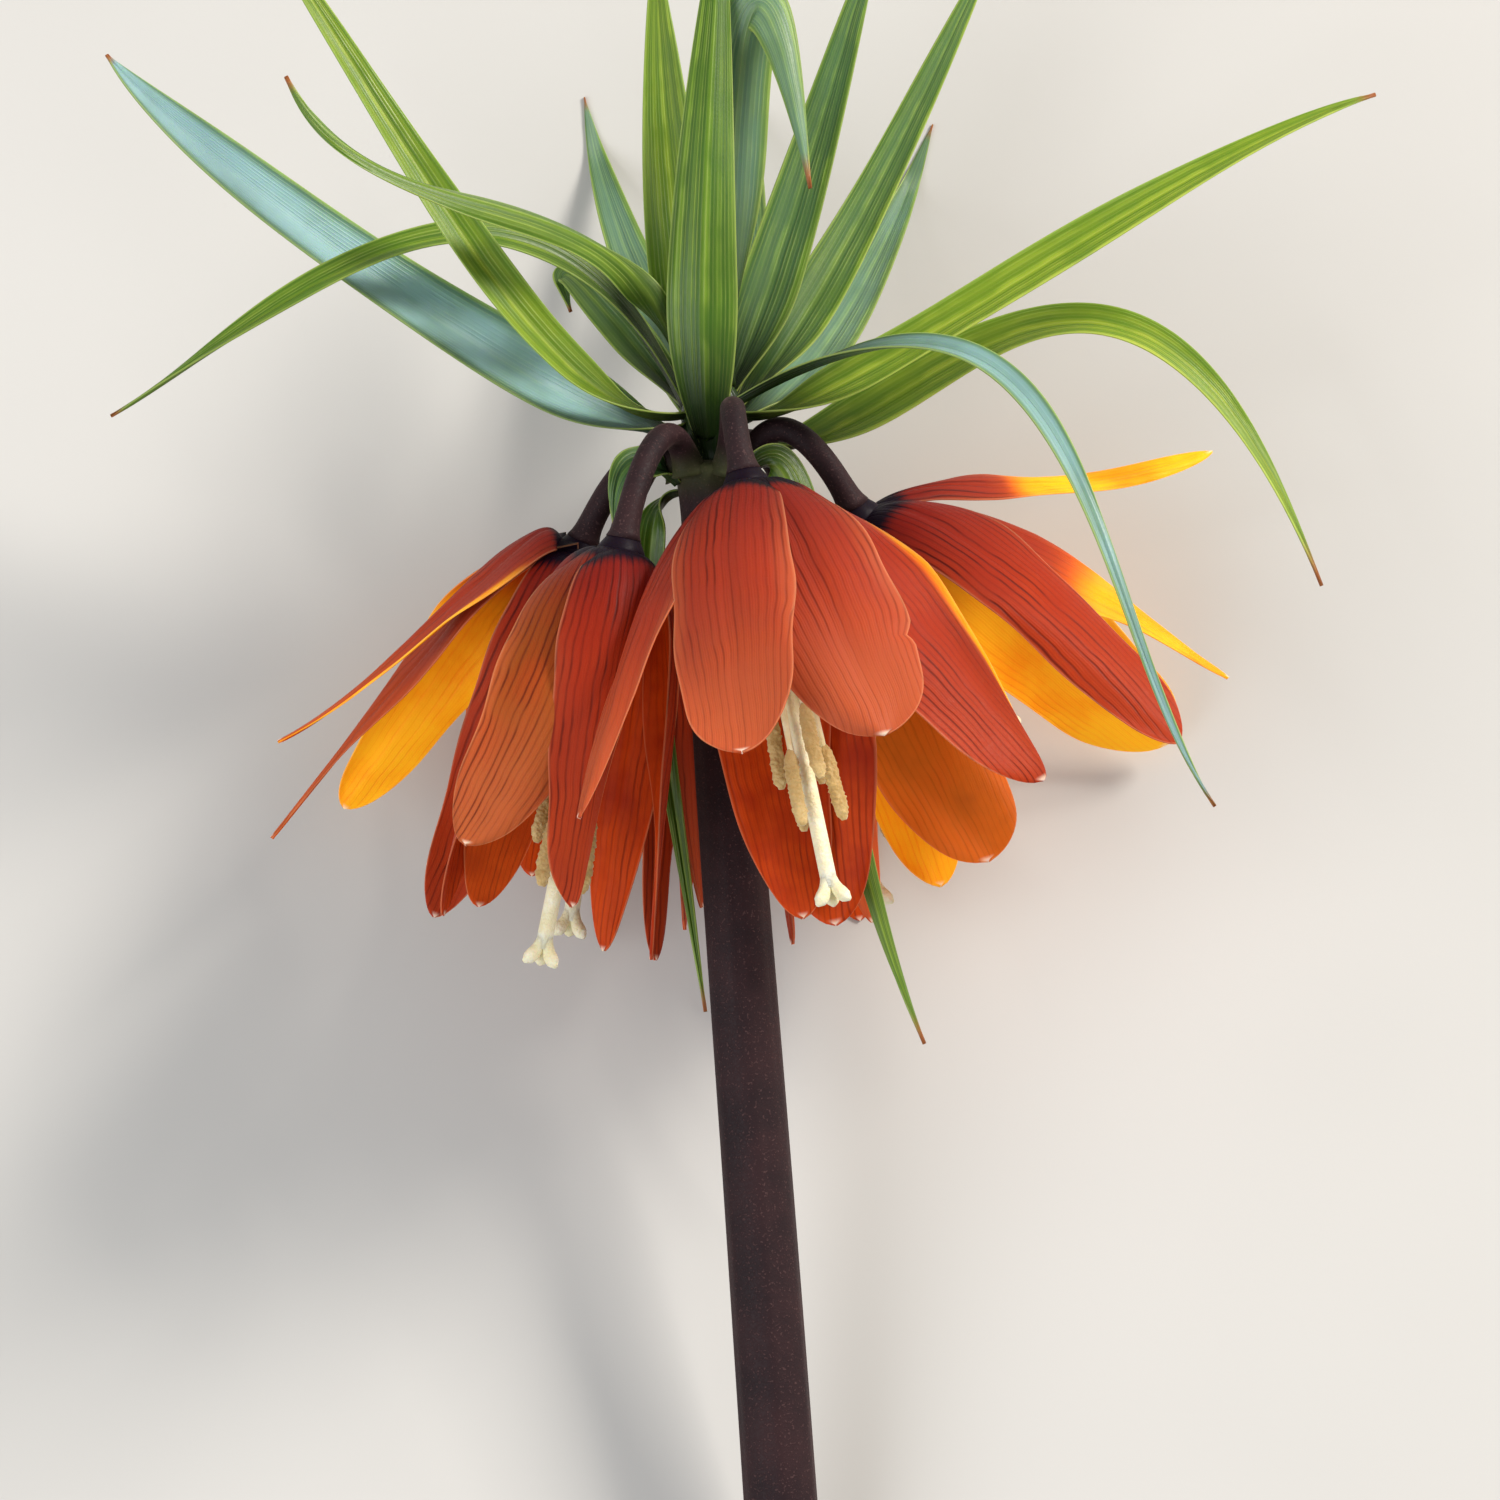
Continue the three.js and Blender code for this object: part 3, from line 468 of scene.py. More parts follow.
def tepal(bell, limits, turn, tip, width, roll=0, lean=0, bulge=2, spread=0, rise=0, point=0.0,
          notch=0.0, tone=0.3, glow=0.0, onset=0.0, rim=0, steps=56, strips=28):
    """Spine: a cubic curve out of the collar, over a shoulder and down to the tip. The blade stands on it
    by its widths and its relief, with a ragged margin and a notch. Notch is the way to it, negative on the
    other margin. Root and shoulder are given outwards and along the bell, and odd turns are inner."""
    phase = 2.4 * turn + bell["azimuth"]
    base, tip = np.array(bell["base"], float), np.array(tip, float)
    axis = unit(np.array(bell["pistil"], float) - base)
    out = unit(tip - base - axis * ((tip - base) @ axis))
    outwards, onwards = INNER_SHOULDER if turn % 2 else OUTER_SHOULDER
    root = base + TEPAL_ROOT[0] * out + TEPAL_ROOT[1] * axis
    shoulder = base + (outwards + spread) * out + (onwards - rise) * axis
    corners = [root, shoulder, base + 0.62 * (tip - base) + (2 + bulge) * out, tip]
    way = 1 - (1 - np.linspace(0, 1, steps + 1)) ** 1.25
    across = np.sin(np.linspace(-1, 1, strips + 1) * np.pi / 2)
    spine, tangent = bezier(corners, way), bezier_direction(corners, way)
    angle = np.radians(roll) * np.minimum(2 * way, 1)[:, None]
    round_bell = np.broadcast_to(np.cross(axis, out), tangent.shape)
    side = round_bell * np.cos(angle) + np.cross(tangent, round_bell) * np.sin(angle)
    side = unit(side - tangent * np.einsum("ij,ij->i", side, tangent)[:, None])
    outside = np.cross(side, tangent)
    outside *= np.where(np.abs(roll) > 40, 1, np.sign(outside @ (out - axis)))[:, None]
    way = way[:, None]
    open_half, half = tepal_widths(way, width, point)
    ragged = 1 + 0.03 * np.sin(23 * way + phase + 2 * across) * smooth(way, 0.3, 0.6) * across**2
    notched = np.exp(-(((way - abs(notch)) / 0.018) ** 2)) * smooth(across * np.sign(notch), 0.5, 1)
    aside = half * across * (ragged - 0.1 * notched) + lean * np.sin(np.pi * way)
    raised = tepal_relief(way, across, half, phase)
    middle = spine[:, None] + side[:, None] * aside[..., None] + outside[:, None] * raised[..., None]
    fan = half / (open_half * (1 - 0.3 * smooth(way, 0.5, 1)))
    # Painted backlight: the share of golden colour from onset on, and a painted rim of light along one
    # margin.
    lit = glow * smooth(way, onset - 0.1, onset + 0.1)
    lit_rim = smooth(rim * across, 0.7, 0.97) * smooth(way, 0.25, 0.4)
    return blade(
        bent_clear(middle, limits), outside[:, None], TEPAL_THICKNESS, TEPAL_EDGE,
        along=way, across=across, vein=across * fan * width / VEIN_SPACING / 2 + 0.5,
        tone=tone, glow=np.maximum(lit, lit_rim),
    )


def on_axis(base, axis, profile, sides, **values):
    """A round solid about a bell's axis, from a profile of (radius, distance along the axis)."""
    profile = np.array(profile, float)
    centres = base + profile[:, 1:] * axis
    directions = np.broadcast_to(axis, centres.shape)
    rings = rings_about(centres, directions, profile[:, 0], FRONT, sides)
    return closed_tube(rings, **{name: np.full(len(profile), value) for name, value in values.items()})


def make_veins():
    """A group: thin dark lines at every whole number of Line, which waver a little. Their width is a share
    of their spacing. It also gives the fine lines between them, three times as close."""
    lines = {"Line": 0.0, "Width": 0.2, "Waver": 0.3, "Waver size": 0.006}
    tree, given, result = new_group("veins", lines, ["Veins", "Fine veins"])
    place = node(tree, "TexCoord").outputs["Object"]
    scale = sums(tree, "DIVIDE", 1.0, given.outputs["Waver size"])
    noise = node(tree, "TexNoise", {"Vector": place, "Scale": scale, "Detail": 1.0}).outputs[0]
    waver = sums(tree, "MULTIPLY", sums(tree, "SUBTRACT", noise, 0.5), given.outputs["Waver"])
    line = sums(tree, "ADD", given.outputs["Line"], waver)
    for name, often, wider in (("Veins", 1.0, 1.0), ("Fine veins", 3.0, 1.6)):
        apart = sums(tree, "PINGPONG", sums(tree, "MULTIPLY", line, often), 0.5)
        width = sums(tree, "MULTIPLY", given.outputs["Width"], wider)
        near = sums(tree, "SUBTRACT", 1.0, sums(tree, "DIVIDE", apart, width))
        number = sums(tree, "ROUND", sums(tree, "MULTIPLY", line, often))
        draw = node(tree, "TexWhiteNoise", {"W": number}, noise_dimensions="1D").outputs["Value"]
        worn = ramp(tree, noise, 0.35, 0.6, 0.5, 1)
        strength = sums(tree, "MULTIPLY", ramp(tree, draw, 0, 1, 0.35, 1), worn)
        tree.links.new(sums(tree, "MULTIPLY", ramp(tree, near, 0, 1), strength), result.inputs[name])
    return tree


veins_group = make_veins()


def veins(tree, line, width, waver):
    """The veins group placed in a material."""
    placed = node(tree, "Group", node_tree=veins_group)
    tree.links.new(line, placed.inputs["Line"])
    placed.inputs["Width"].default_value = width
    placed.inputs["Waver"].default_value = waver
    return placed.outputs["Veins"], placed.outputs["Fine veins"]


def outer_face(tree, tone, along, across, patches, thick, fine):
    """Brick red to tan, purple at the foot and paler downwards and at the margins, with dark veins."""
    body = blend(tree, ramp(tree, tone, 0, 0.5), tint("9c2808"), tint("9a3420"))
    body = blend(tree, ramp(tree, tone, 0.6, 1), body, tint("924a12"))
    body = blend(tree, ramp(tree, patches, 0.4, 0.75, 0, 0.5), body, tint("b23a12"))
    pale = sums(tree, "MAXIMUM", ramp(tree, across, 0.6, 1.0, 0, 0.5), ramp(tree, along, 0.5, 0.95, 0, 0.65))
    pale = sums(tree, "MULTIPLY", pale, ramp(tree, tone, 0.1, 0.5, 0.2, 1))
    body = blend(tree, pale, body, tint("be6038"))
    body = blend(tree, ramp(tree, along, 0.15, 0.6, 0.85, 0), body, tint("6a1412"))
    faded = ramp(tree, tone, 0.15, 0.4, 0.7, 0.25)
    dark = sums(tree, "MAXIMUM", ramp(tree, along, 0.2, 0.9, 1.0, faded), ramp(tree, tone, 0.6, 1, 0, 0.9))
    body = blend(tree, sums(tree, "MULTIPLY", thick, dark), body, tint("420a08"))
    return blend(tree, sums(tree, "MULTIPLY", fine, 0.16), body, tint("7a1c0e"))


def inner_face(tree, tone, patches, thick):
    """Clear orange red, browner where the outer face is tan, with fainter veins."""
    lining = blend(tree, ramp(tree, patches, 0.3, 0.7), tint("9e2a08"), tint("c4440c"))
    lining = blend(tree, ramp(tree, tone, 0.4, 0.9), lining, tint("ac5216"))
    return blend(tree, sums(tree, "MULTIPLY", thick, 0.6), lining, tint("5e1408"))


def lit_through(tree, glow, patches, thick):
    """Painted backlight: the colour given where light would come through, deep orange where there is little,
    golden where it is full.
    """
    golden = blend(tree, ramp(tree, patches, 0.35, 0.7), tint("ffb41a"), tint("f8960e"))
    golden = blend(tree, ramp(tree, glow, 0.3, 0.9), tint("ee6a1e"), golden)
    return blend(tree, sums(tree, "MULTIPLY", thick, 0.3), golden, tint("e2600e"))


def make_tepal_skin():
    """Satin petal tissue with an outer and an inner face. Where backlight is painted, both turn golden and
    glow a little, and all of it glows faintly as painted light. It has a near-black foot with a ragged edge,
    thin margins painted pale as a highlight, and a pale tip."""
    material, tree = new_tree("tepal_skin")
    along, across = value_of(tree, "along"), sums(tree, "ABSOLUTE", value_of(tree, "across"))
    tone, glow = value_of(tree, "tone"), value_of(tree, "glow")
    inside = ramp(tree, value_of(tree, "inside"), 0.45, 0.55)
    patches, grain = mottle(tree, 0.012, 0.0004)
    thick, fine = veins(tree, value_of(tree, "vein"), 0.28, 0.9)
    outer = outer_face(tree, tone, along, across, patches, thick, fine)
    colour = blend(tree, inside, outer, inner_face(tree, tone, patches, thick))
    golden = lit_through(tree, glow, patches, thick)
    # Share of painted backlight: the glow, from a quarter of the way down, and more in patches.
    backlight_share = sums(tree, "MULTIPLY", glow, ramp(tree, along, 0.25, 0.6))
    backlight_share = sums(tree, "MULTIPLY", backlight_share, ramp(tree, sums(tree, "ADD", patches, glow), 0.7, 1.1, 0.4, 1))
    colour = blend(tree, backlight_share, colour, golden)
    reach = sums(tree, "ADD", sums(tree, "MULTIPLY", thick, 0.04), sums(tree, "MULTIPLY", patches, 0.1))
    foot = ramp(tree, sums(tree, "SUBTRACT", along, reach), 0.05, 0.13, 1, 0)
    colour = blend(tree, foot, colour, tint("150a16"))
    # Painted highlight: the thin margins turn pale, as light caught on the rims.
    colour = blend(tree, ramp(tree, across, 0.95, 1.0, 0, 0.2), colour, tint("f2b080"))
    tipped = sums(tree, "MULTIPLY", ramp(tree, along, 0.985, 1.0), ramp(tree, across, 0.3, 0.7, 0.9, 0))
    colour = blend(tree, tipped, colour, tint("f4dcc4"))
    height = sums(tree, "SUBTRACT", sums(tree, "MULTIPLY", grain, 0.25), sums(tree, "MULTIPLY", thick, 0.6))
    height = sums(tree, "SUBTRACT", height, sums(tree, "MULTIPLY", fine, 0.25))
    bump = node(tree, "Bump", {"Strength": 0.45, "Distance": 0.00018, "Height": height})
    # Painted light: each tepal glows faintly with half its own colour, and golden where backlight is
    # painted.
    through = blend(tree, backlight_share, blend(tree, 0.5, [0.0, 0.0, 0.0, 1.0], colour), golden)
    skin(tree, {
        "Base Color": colour, "Normal": bump.outputs[0],
        "Roughness": ramp(tree, grain, 0.2, 0.8, 0.44, 0.58), "Specular IOR Level": 0.1,
        "Subsurface Weight": 0.25, "Subsurface Radius": (1.0, 0.25, 0.05), "Subsurface Scale": 0.001,
        "Emission Color": through, "Emission Strength": 0.3,
    })
    return material


tepal_skin = make_tepal_skin()

for bell_name, bell in BELLS.items():
    bell["foot"] = np.array(bell["base"], float)
    bell["axis"] = unit(np.array(bell["pistil"], float) - bell["foot"])
    bell_limits = limits_of(bell_name)
    plain = dict.fromkeys(("along", "across", "vein", "tone", "glow", "inside"), 0.0)
    solids = [on_axis(bell["foot"], bell["axis"], COLLAR, COLLAR_FACETS, **plain)]
    solids += [tepal(bell, bell_limits, turn, **shape) for turn, shape in enumerate(bell["tepals"])]
    grow("tepals_" + bell_name, solids, tepal_skin, "petals_" + bell_name)

# --- Bells: stamens and pistils ---
# Six ivory threads, each with a long mealy anther, stand round a thicker cream style with a three-lobed
# stigma. All of them hang free from one receptacle.
STAMENS = 6
STIGMA_LOBES = 3
ANTHER_LENGTH = 10.5
ANTHER_RADII = 0.78 * np.array([0.35, 0.8, 0.95, 1, 1, 1, 0.97, 1, 1, 1, 0.98, 0.85, 0.4])
STAMEN_CLEARANCE = 2.55
LONG_STAMEN = 0.74
SHORT_STAMEN = 0.64
RECEPTACLE_START = 2.9
RECEPTACLE = [(0.2, -0.6), (2.3, -0.5), (2.4, 0.2), (2.0, 1.3), (0.2, 2.2)]
RECEPTACLE_FACETS = 20
THREAD_RADII = [0.9, 0.8, 0.7, 0.5, 0.3]
STYLE_RADII = [0.9, 0.95, 1.0, 1.1, 1.15]
LOBE_RADII = [0.8, 0.85, 0.85, 0.9, 1.0, 0.9, 0.3]
meal_draws = np.random.default_rng(5)


def spots_in(bell, limits):
    """Gives a function for points in a bell: so far along its axis, so far aside, at a turn round it, and
    kept clear of the bell's limits."""
    side = unit(np.cross(FRONT, bell["axis"]))
    front = np.cross(bell["axis"], side)

    def spot(along, aside, turn):
        around = side * np.cos(turn) + front * np.sin(turn)
        return bent_clear(bell["foot"] + bell["axis"] * along + aside * around, limits)

    return spot


def thread(ends, radii, sides=12, steps=24, furrow=0.0, meal=0.0):
    """A tube along a quadratic curve through a start, a corner and an end. Its radii are spread evenly. The
    cosine of twice the turn flattens it by its furrow, and grains of meal, two points long and wide, raise
    its surface by random heights."""
    start, corner, end = ends
    t = np.linspace(0, 1, steps)[:, None]
    centres = start * (1 - t) ** 2 + corner * 2 * t * (1 - t) + end * t**2
    directions = unit(np.gradient(centres, axis=0))
    radius = np.interp(t[:, 0], np.linspace(0, 1, len(radii)), radii)
    turn = 2 * np.pi * np.arange(sides) / sides
    grains = np.kron(meal_draws.random((steps // 2, sides // 2)) ** 2, np.ones((2, 2)))
    grains = (grains + np.roll(grains, 1, 0) + np.roll(grains, 1, 1)) / 3
    surface = 1 + furrow * np.cos(2 * turn)[None] + meal * grains
    rings = rings_about(centres, directions, radius[:, None] * surface, np.array([0.3, 0.1, 1.0]), sides)
    return closed_tube(rings, along=t[:, 0])


def make_mealy(name, colour, dark, bump_size, sheen):
    """Pale plant tissue with patches and grains of a darker tint, darker towards its foot."""
    material, tree = new_tree(name)
    patches, grain = mottle(tree, 0.003, bump_size)
    mixed = blend(tree, ramp(tree, patches, 0.3, 0.75), tint(colour), tint(dark))
    mixed = blend(tree, ramp(tree, value_of(tree, "along"), 0.5, 0.9, 0.5, 0), mixed, tint(dark))
    mixed = blend(tree, ramp(tree, grain, 0.45, 0.7, 0, 0.35), mixed, tint(dark))
    bump = node(tree, "Bump", {"Strength": 0.7, "Distance": bump_size * 0.6, "Height": grain})
    skin(tree, {
        "Base Color": mixed, "Roughness": ramp(tree, grain, 0.3, 0.7, 0.5, 0.7), "Normal": bump.outputs[0],
        "Subsurface Weight": 0.3, "Subsurface Radius": (1.0, 0.7, 0.4), "Subsurface Scale": 0.001,
        "Sheen Weight": sheen,
    })
    return material


thread_skin = make_mealy("thread_skin", "f3e8c4", "e3cf9a", 0.0005, 0.1)
anther_skin = make_mealy("anther_skin", "d9bd80", "b3914f", 0.00035, 0.3)
style_skin = make_mealy("style_skin", "f8f2d8", "eadfae", 0.0006, 0.1)

for bell_name, bell in BELLS.items():
    length = float(np.linalg.norm(np.array(bell["pistil"], float) - bell["foot"]))
    spot = spots_in(bell, limits_of(bell_name, STAMEN_CLEARANCE))
    start = RECEPTACLE_START
    receptacle = [(radius, start + along) for radius, along in RECEPTACLE]
    threads = [on_axis(bell["foot"], bell["axis"], receptacle, RECEPTACLE_FACETS, along=0.0)]
    anthers = []
    for stamen in range(STAMENS):
        turn = 2 * math.pi * stamen / STAMENS
        end = length * (SHORT_STAMEN if stamen % 2 else LONG_STAMEN)
        points = [spot(start + 0.6, 1.5, turn), spot(end * 0.5, 2.2, turn), spot(end, 3.2, turn)]
        threads.append(thread(points, THREAD_RADII))
        low, high = spot(end - ANTHER_LENGTH / 2, 3.1, turn), spot(end + ANTHER_LENGTH / 2, 3.7, turn)
        curve = [low, (low + high) / 2 + 0.5 * unit(np.cross(bell["axis"], high - low)), high]
        anthers.append(thread(curve, ANTHER_RADII, sides=30, steps=72, furrow=0.16, meal=0.42))
    grow("threads_" + bell_name, threads, thread_skin, "stamens_" + bell_name)
    grow("anthers_" + bell_name, anthers, anther_skin, "stamens_" + bell_name)
    points = [spot(start + 0.6, 0, 0), spot(length * 0.5, 0, 0), spot(length - 1.2, 0, 0)]
    style = [thread(points, STYLE_RADII)]
    for lobe in range(STIGMA_LOBES):
        turn = 2 * math.pi * lobe / STIGMA_LOBES + 0.5
        points = [spot(length - 3, 0.25, turn), spot(length - 0.6, 0.7, turn), spot(length + 0.9, 2.6, turn)]
        style.append(thread(points, LOBE_RADII))
    grow("pistil_" + bell_name, style, style_skin, "stamens_" + bell_name)

# --- Bells: their stalks ---
# Each bell hangs on a round stalk of the stem's own dark velvety skin. It springs from the top of the stem,
# arches over and runs down into the collar.
UP_THE_STEM = np.array([0.0, 1.0, 0.0])
STALK_RADIUS = 1.75
STALK_RING = 4.3
STALK_ARCH = 10.5
STALK_SPREAD = 3.5
STALK_DROP = 12.9
STALK_RINGS = 49
STALK_FACETS = 24
for bell_name, bell in BELLS.items():
    turn = math.radians(bell["azimuth"])
    out = np.array([math.cos(turn), 0.0, math.sin(turn)])
    stalk_start = STEM_TOP + STALK_RING * out - 0.6 * UP_THE_STEM
    stalk_end = bell["foot"] - 1.2 * bell["axis"]
    crest = stalk_start + STALK_SPREAD * out + bell.get("arch", STALK_ARCH) * UP_THE_STEM
    corners = [stalk_start, crest, stalk_end - STALK_DROP * bell["axis"], stalk_end]
    way = np.linspace(0, 1, STALK_RINGS)
    radius = STALK_RADIUS + 0.9 * (1 - way) ** 14 + 0.7 * way**30
    centres, directions = bezier(corners, way), bezier_direction(corners, way)
    rings = rings_about(centres, directions, radius, np.cross(out, UP_THE_STEM), STALK_FACETS)
    stalk = closed_tube(rings, cut=np.zeros(STALK_RINGS), green=smooth(way, 0.2, 0.0))
    grow("bell_stalk_" + bell_name, [stalk], stem_skin, "stalk_" + bell_name)

# --- Crown: core and leaves ---
# Above the bells the stem ends in a short green core, clasped by the feet of long strap leaves. They are
# channelled, ribbed along their length, waxy blue green where bloom is thick, and end in a dry brown point.
#
# A leaf springs at its foot, as the turn in degrees and the height on the core, and below the stalks where
# that is negative. Its upper side faces up the stem at 0 and away from the table at 90.
CORE_PROFILE = np.array(
    [[0, 0.3], [2.0, 0.3], [2.5, 2.5], [3.8, 5], [4.4, 7.5], [3.7, 10.5], [2.0, 13], [0, 13.8]])
LEAF_THICKNESS = 0.5
LEAF_EDGE = 0.22
RIB_SPACING = 0.62
CORE_RINGS = 29
CORE_FACETS = 96
CLASPING_FEET = 6
# Each leaf's painted backlight gives how yellow green its colour is painted.
LEAVES = {
    "left_broad": dict(
        foot=[178, 5.6], spine=[[-11, 0, 3], [-72, 43, 7], [-82.5, 57, 6]],
        width=11.5, faces=[50, 60], taper=2.6, bloom=1.0, warm=0.1),
    "left_rising": dict(
        foot=[150, 7.6], spine=[[-20, 2, 16], [-42, 48, 26], [-61.5, 75.3, 16]],
        width=6.4, faces=[50, 60], taper=3, warm=0.8),
    "left_front": dict(
        foot=[150, 10.2], spine=[[-9.2, 44.5, 13], [-43.3, 25.3, 42], [-55.6, 50.9, 36]],
        width=5.6, faces=[60, 40], warm=0.4),
    "left_low": dict(
        foot=[198, 8.8], spine=[[-25.6, 55.5, 10], [-59.3, 18.6, 20], [-81.3, 6.9, 12]],
        width=6, faces=[60, 30], warm=0.4),
    "curled": dict(
        foot=[226, 8], spine=[[-11, 19, -9], [-24, 37, -13], [-19.0, 22.8, -13]],
        width=7, faces=[60, 60], bloom=0.1, warm=0.4),
    "upright_front": dict(
        foot=[100, 4.2], spine=[[-1.5, 20, 15], [0.5, 50.4, 11], [2.4, 80.0, 4]],
        width=10.5, faces=[90, 90], warm=0.2),
    "upright_back": dict(
        foot=[248, 11], spine=[[-4, 26, -8], [-6, 52.0, -10], [-7.1, 74.6, -10]],
        width=10, faces=[90, 90], warm=0.6),
    "upright_right": dict(
        foot=[305, 10.5], spine=[[9.5, 24, -7], [16, 49.4, -10], [25.2, 79.1, -12]],
        width=9, faces=[80, 80], bloom=0.1, warm=0.2),
    "tucked": dict(
        foot=[20, 11.5], spine=[[2, 50, 4], [6, 92, 4], [14.5, 38, 13]],
        width=10, faces=[90, 90], taper=3, bloom=0.3, warm=0.4),
    "right_steep": dict(
        foot=[331, 8.3], spine=[[14.5, 20, -8.5], [26, 42.6, -16], [43.0, 79.7, -19]],
        width=8, faces=[60, 60], bloom=0.1, warm=0.4),
    "right_long": dict(
        foot=[26, 7.6], spine=[[15, 3, 11], [62, 42, 8], [93.1, 52.1, 0]],
        width=7.6, faces=[50, 50], taper=3, warm=0.9),
    "right_arched": dict(
        foot=[338, 4.6], spine=[[23, -7, -11], [57, 60, -8], [86, -16, -4]],
        width=8, faces=[55, 45], taper=3, warm=1.0),
    "draped": dict(
        foot=[60, 8.2], spine=[[54, 38, 27], [49.7, -19.6, 38], [68.4, -46.4, 34]],
        width=4.6, faces=[60, 20], taper=1.4, bloom=0.8, warm=0.2),
    "hung_right": dict(
        foot=[43, -2], spine=[[17, 14, 7], [12, -36.0, 7], [30.3, -79.4, 7]],
        width=6.5, faces=[60, 90], warm=0.4),
    "hung_left": dict(
        foot=[205, -3], spine=[[-12, -4, -4], [-6.5, -31.8, -3], [0.0, -75.6, -9]],
        width=4.6, faces=[60, 90], warm=0.3),
    "bract_left": dict(
        foot=[161, -2], spine=[[-9, 3, 3.5], [-13, 2, 6], [-12.5, -8, 5]],
        width=5, faces=[60, 90], bloom=0.1, warm=0.1),
    "back_left": dict(
        foot=[271, 4.6], spine=[[-2, 12, -16], [-14, 34, -40], [-18, 56, -53]],
        width=9, faces=[30, 70], bloom=0.3, warm=0.2),
    "back_middle": dict(
        foot=[286, 7.8], spine=[[4, 22, -14], [6, 42, -38], [5, 62, -55]],
        width=10, faces=[30, 70], bloom=0.2, warm=0.2),
    "back_right": dict(
        foot=[336, 6.6], spine=[[15, 11, -8], [24, 28, -40], [33, 52, -52]],
        width=9, faces=[30, 70], bloom=0.3, warm=0.2),
}


def leaf_foot(azimuth, height):
    """Where a leaf springs: just inside the core's radius, or the stem's where the height is negative."""
    if height < 0:
        radius = stem_radius(-height / STEM_LENGTH)
    else:
        radius = np.interp(height, CORE_PROFILE[:, 1], CORE_PROFILE[:, 0])
    turn = math.radians(azimuth)
    radius -= 0.1
    return STEM_TOP + np.array([radius * math.cos(turn), height, radius * math.sin(turn)])


def leaf(foot, spine, width, faces, warm, bloom=0.0, taper=2.2, steps=90, strips=18):
    """Midrib: a cubic curve from the foot. The half width opens as a sine and closes as a power, the taper,
    to the point. The upper side clasps the core, then turns from the first face angle to the second. The
    cross-section is a parabola as a channel, with a keel and gently waving margins."""
    corners = [leaf_foot(*foot)] + [np.array(point, float) for point in spine]
    way = np.linspace(0, 1, steps + 1)
    across = np.sin(np.linspace(-1, 1, strips + 1) * np.pi / 2)
    centres, tangent = bezier(corners, way), bezier_direction(corners, way)
    ring = math.radians(foot[0])
    around_core = np.array([-math.sin(ring), 0.0, math.cos(ring)])
    turn = np.radians(faces[0] + (faces[1] - faces[0]) * way)
    side = unit(np.cross(np.stack([0 * turn, np.cos(turn), np.sin(turn)], -1), tangent))
    flips = np.sign(np.einsum("ij,ij->i", side[1:], side[:-1]))
    side[1:] *= np.cumprod(flips)[:, None]
    side *= np.sign(side[0] @ around_core)
    clasp = (1 - smooth(way, 0, 0.3))[:, None]
    side = side * (1 - clasp) + around_core * clasp
    side = unit(side - tangent * np.einsum("ij,ij->i", side, tangent)[:, None])
    upper = np.cross(side, tangent)
    opening = 0.38 + 0.62 * np.sin(np.clip(way / 0.35, 0, 1) * np.pi / 2)
    half = np.maximum(0.5 * width * opening * (1 - way**taper) ** 0.9, 0.12)[:, None]
    wave = 0.35 * np.sin(14 * way[:, None] + 1.5 * across + foot[0]) * smooth(way, 0.1, 0.4)[:, None]
    keel = 0.35 * np.exp(-((across / 0.16) ** 2)) * (1 - way[:, None]) ** 0.5
    lift = (0.35 * half + wave) * across**2 - keel
    middle = centres[:, None] + side[:, None] * (half * across)[..., None] + upper[:, None] * lift[..., None]
    limits = [(TABLE_UP, LEAF_THICKNESS / 2 - UMBEL_HEIGHT, TABLE_SOFTNESS)]
    return blade(
        bent_clear(middle, limits), upper[:, None], LEAF_THICKNESS, LEAF_EDGE,
        along=way[:, None], across=across, vein=across * width / RIB_SPACING / 2 + 0.5,
        bloom=bloom, warm=warm,
    )


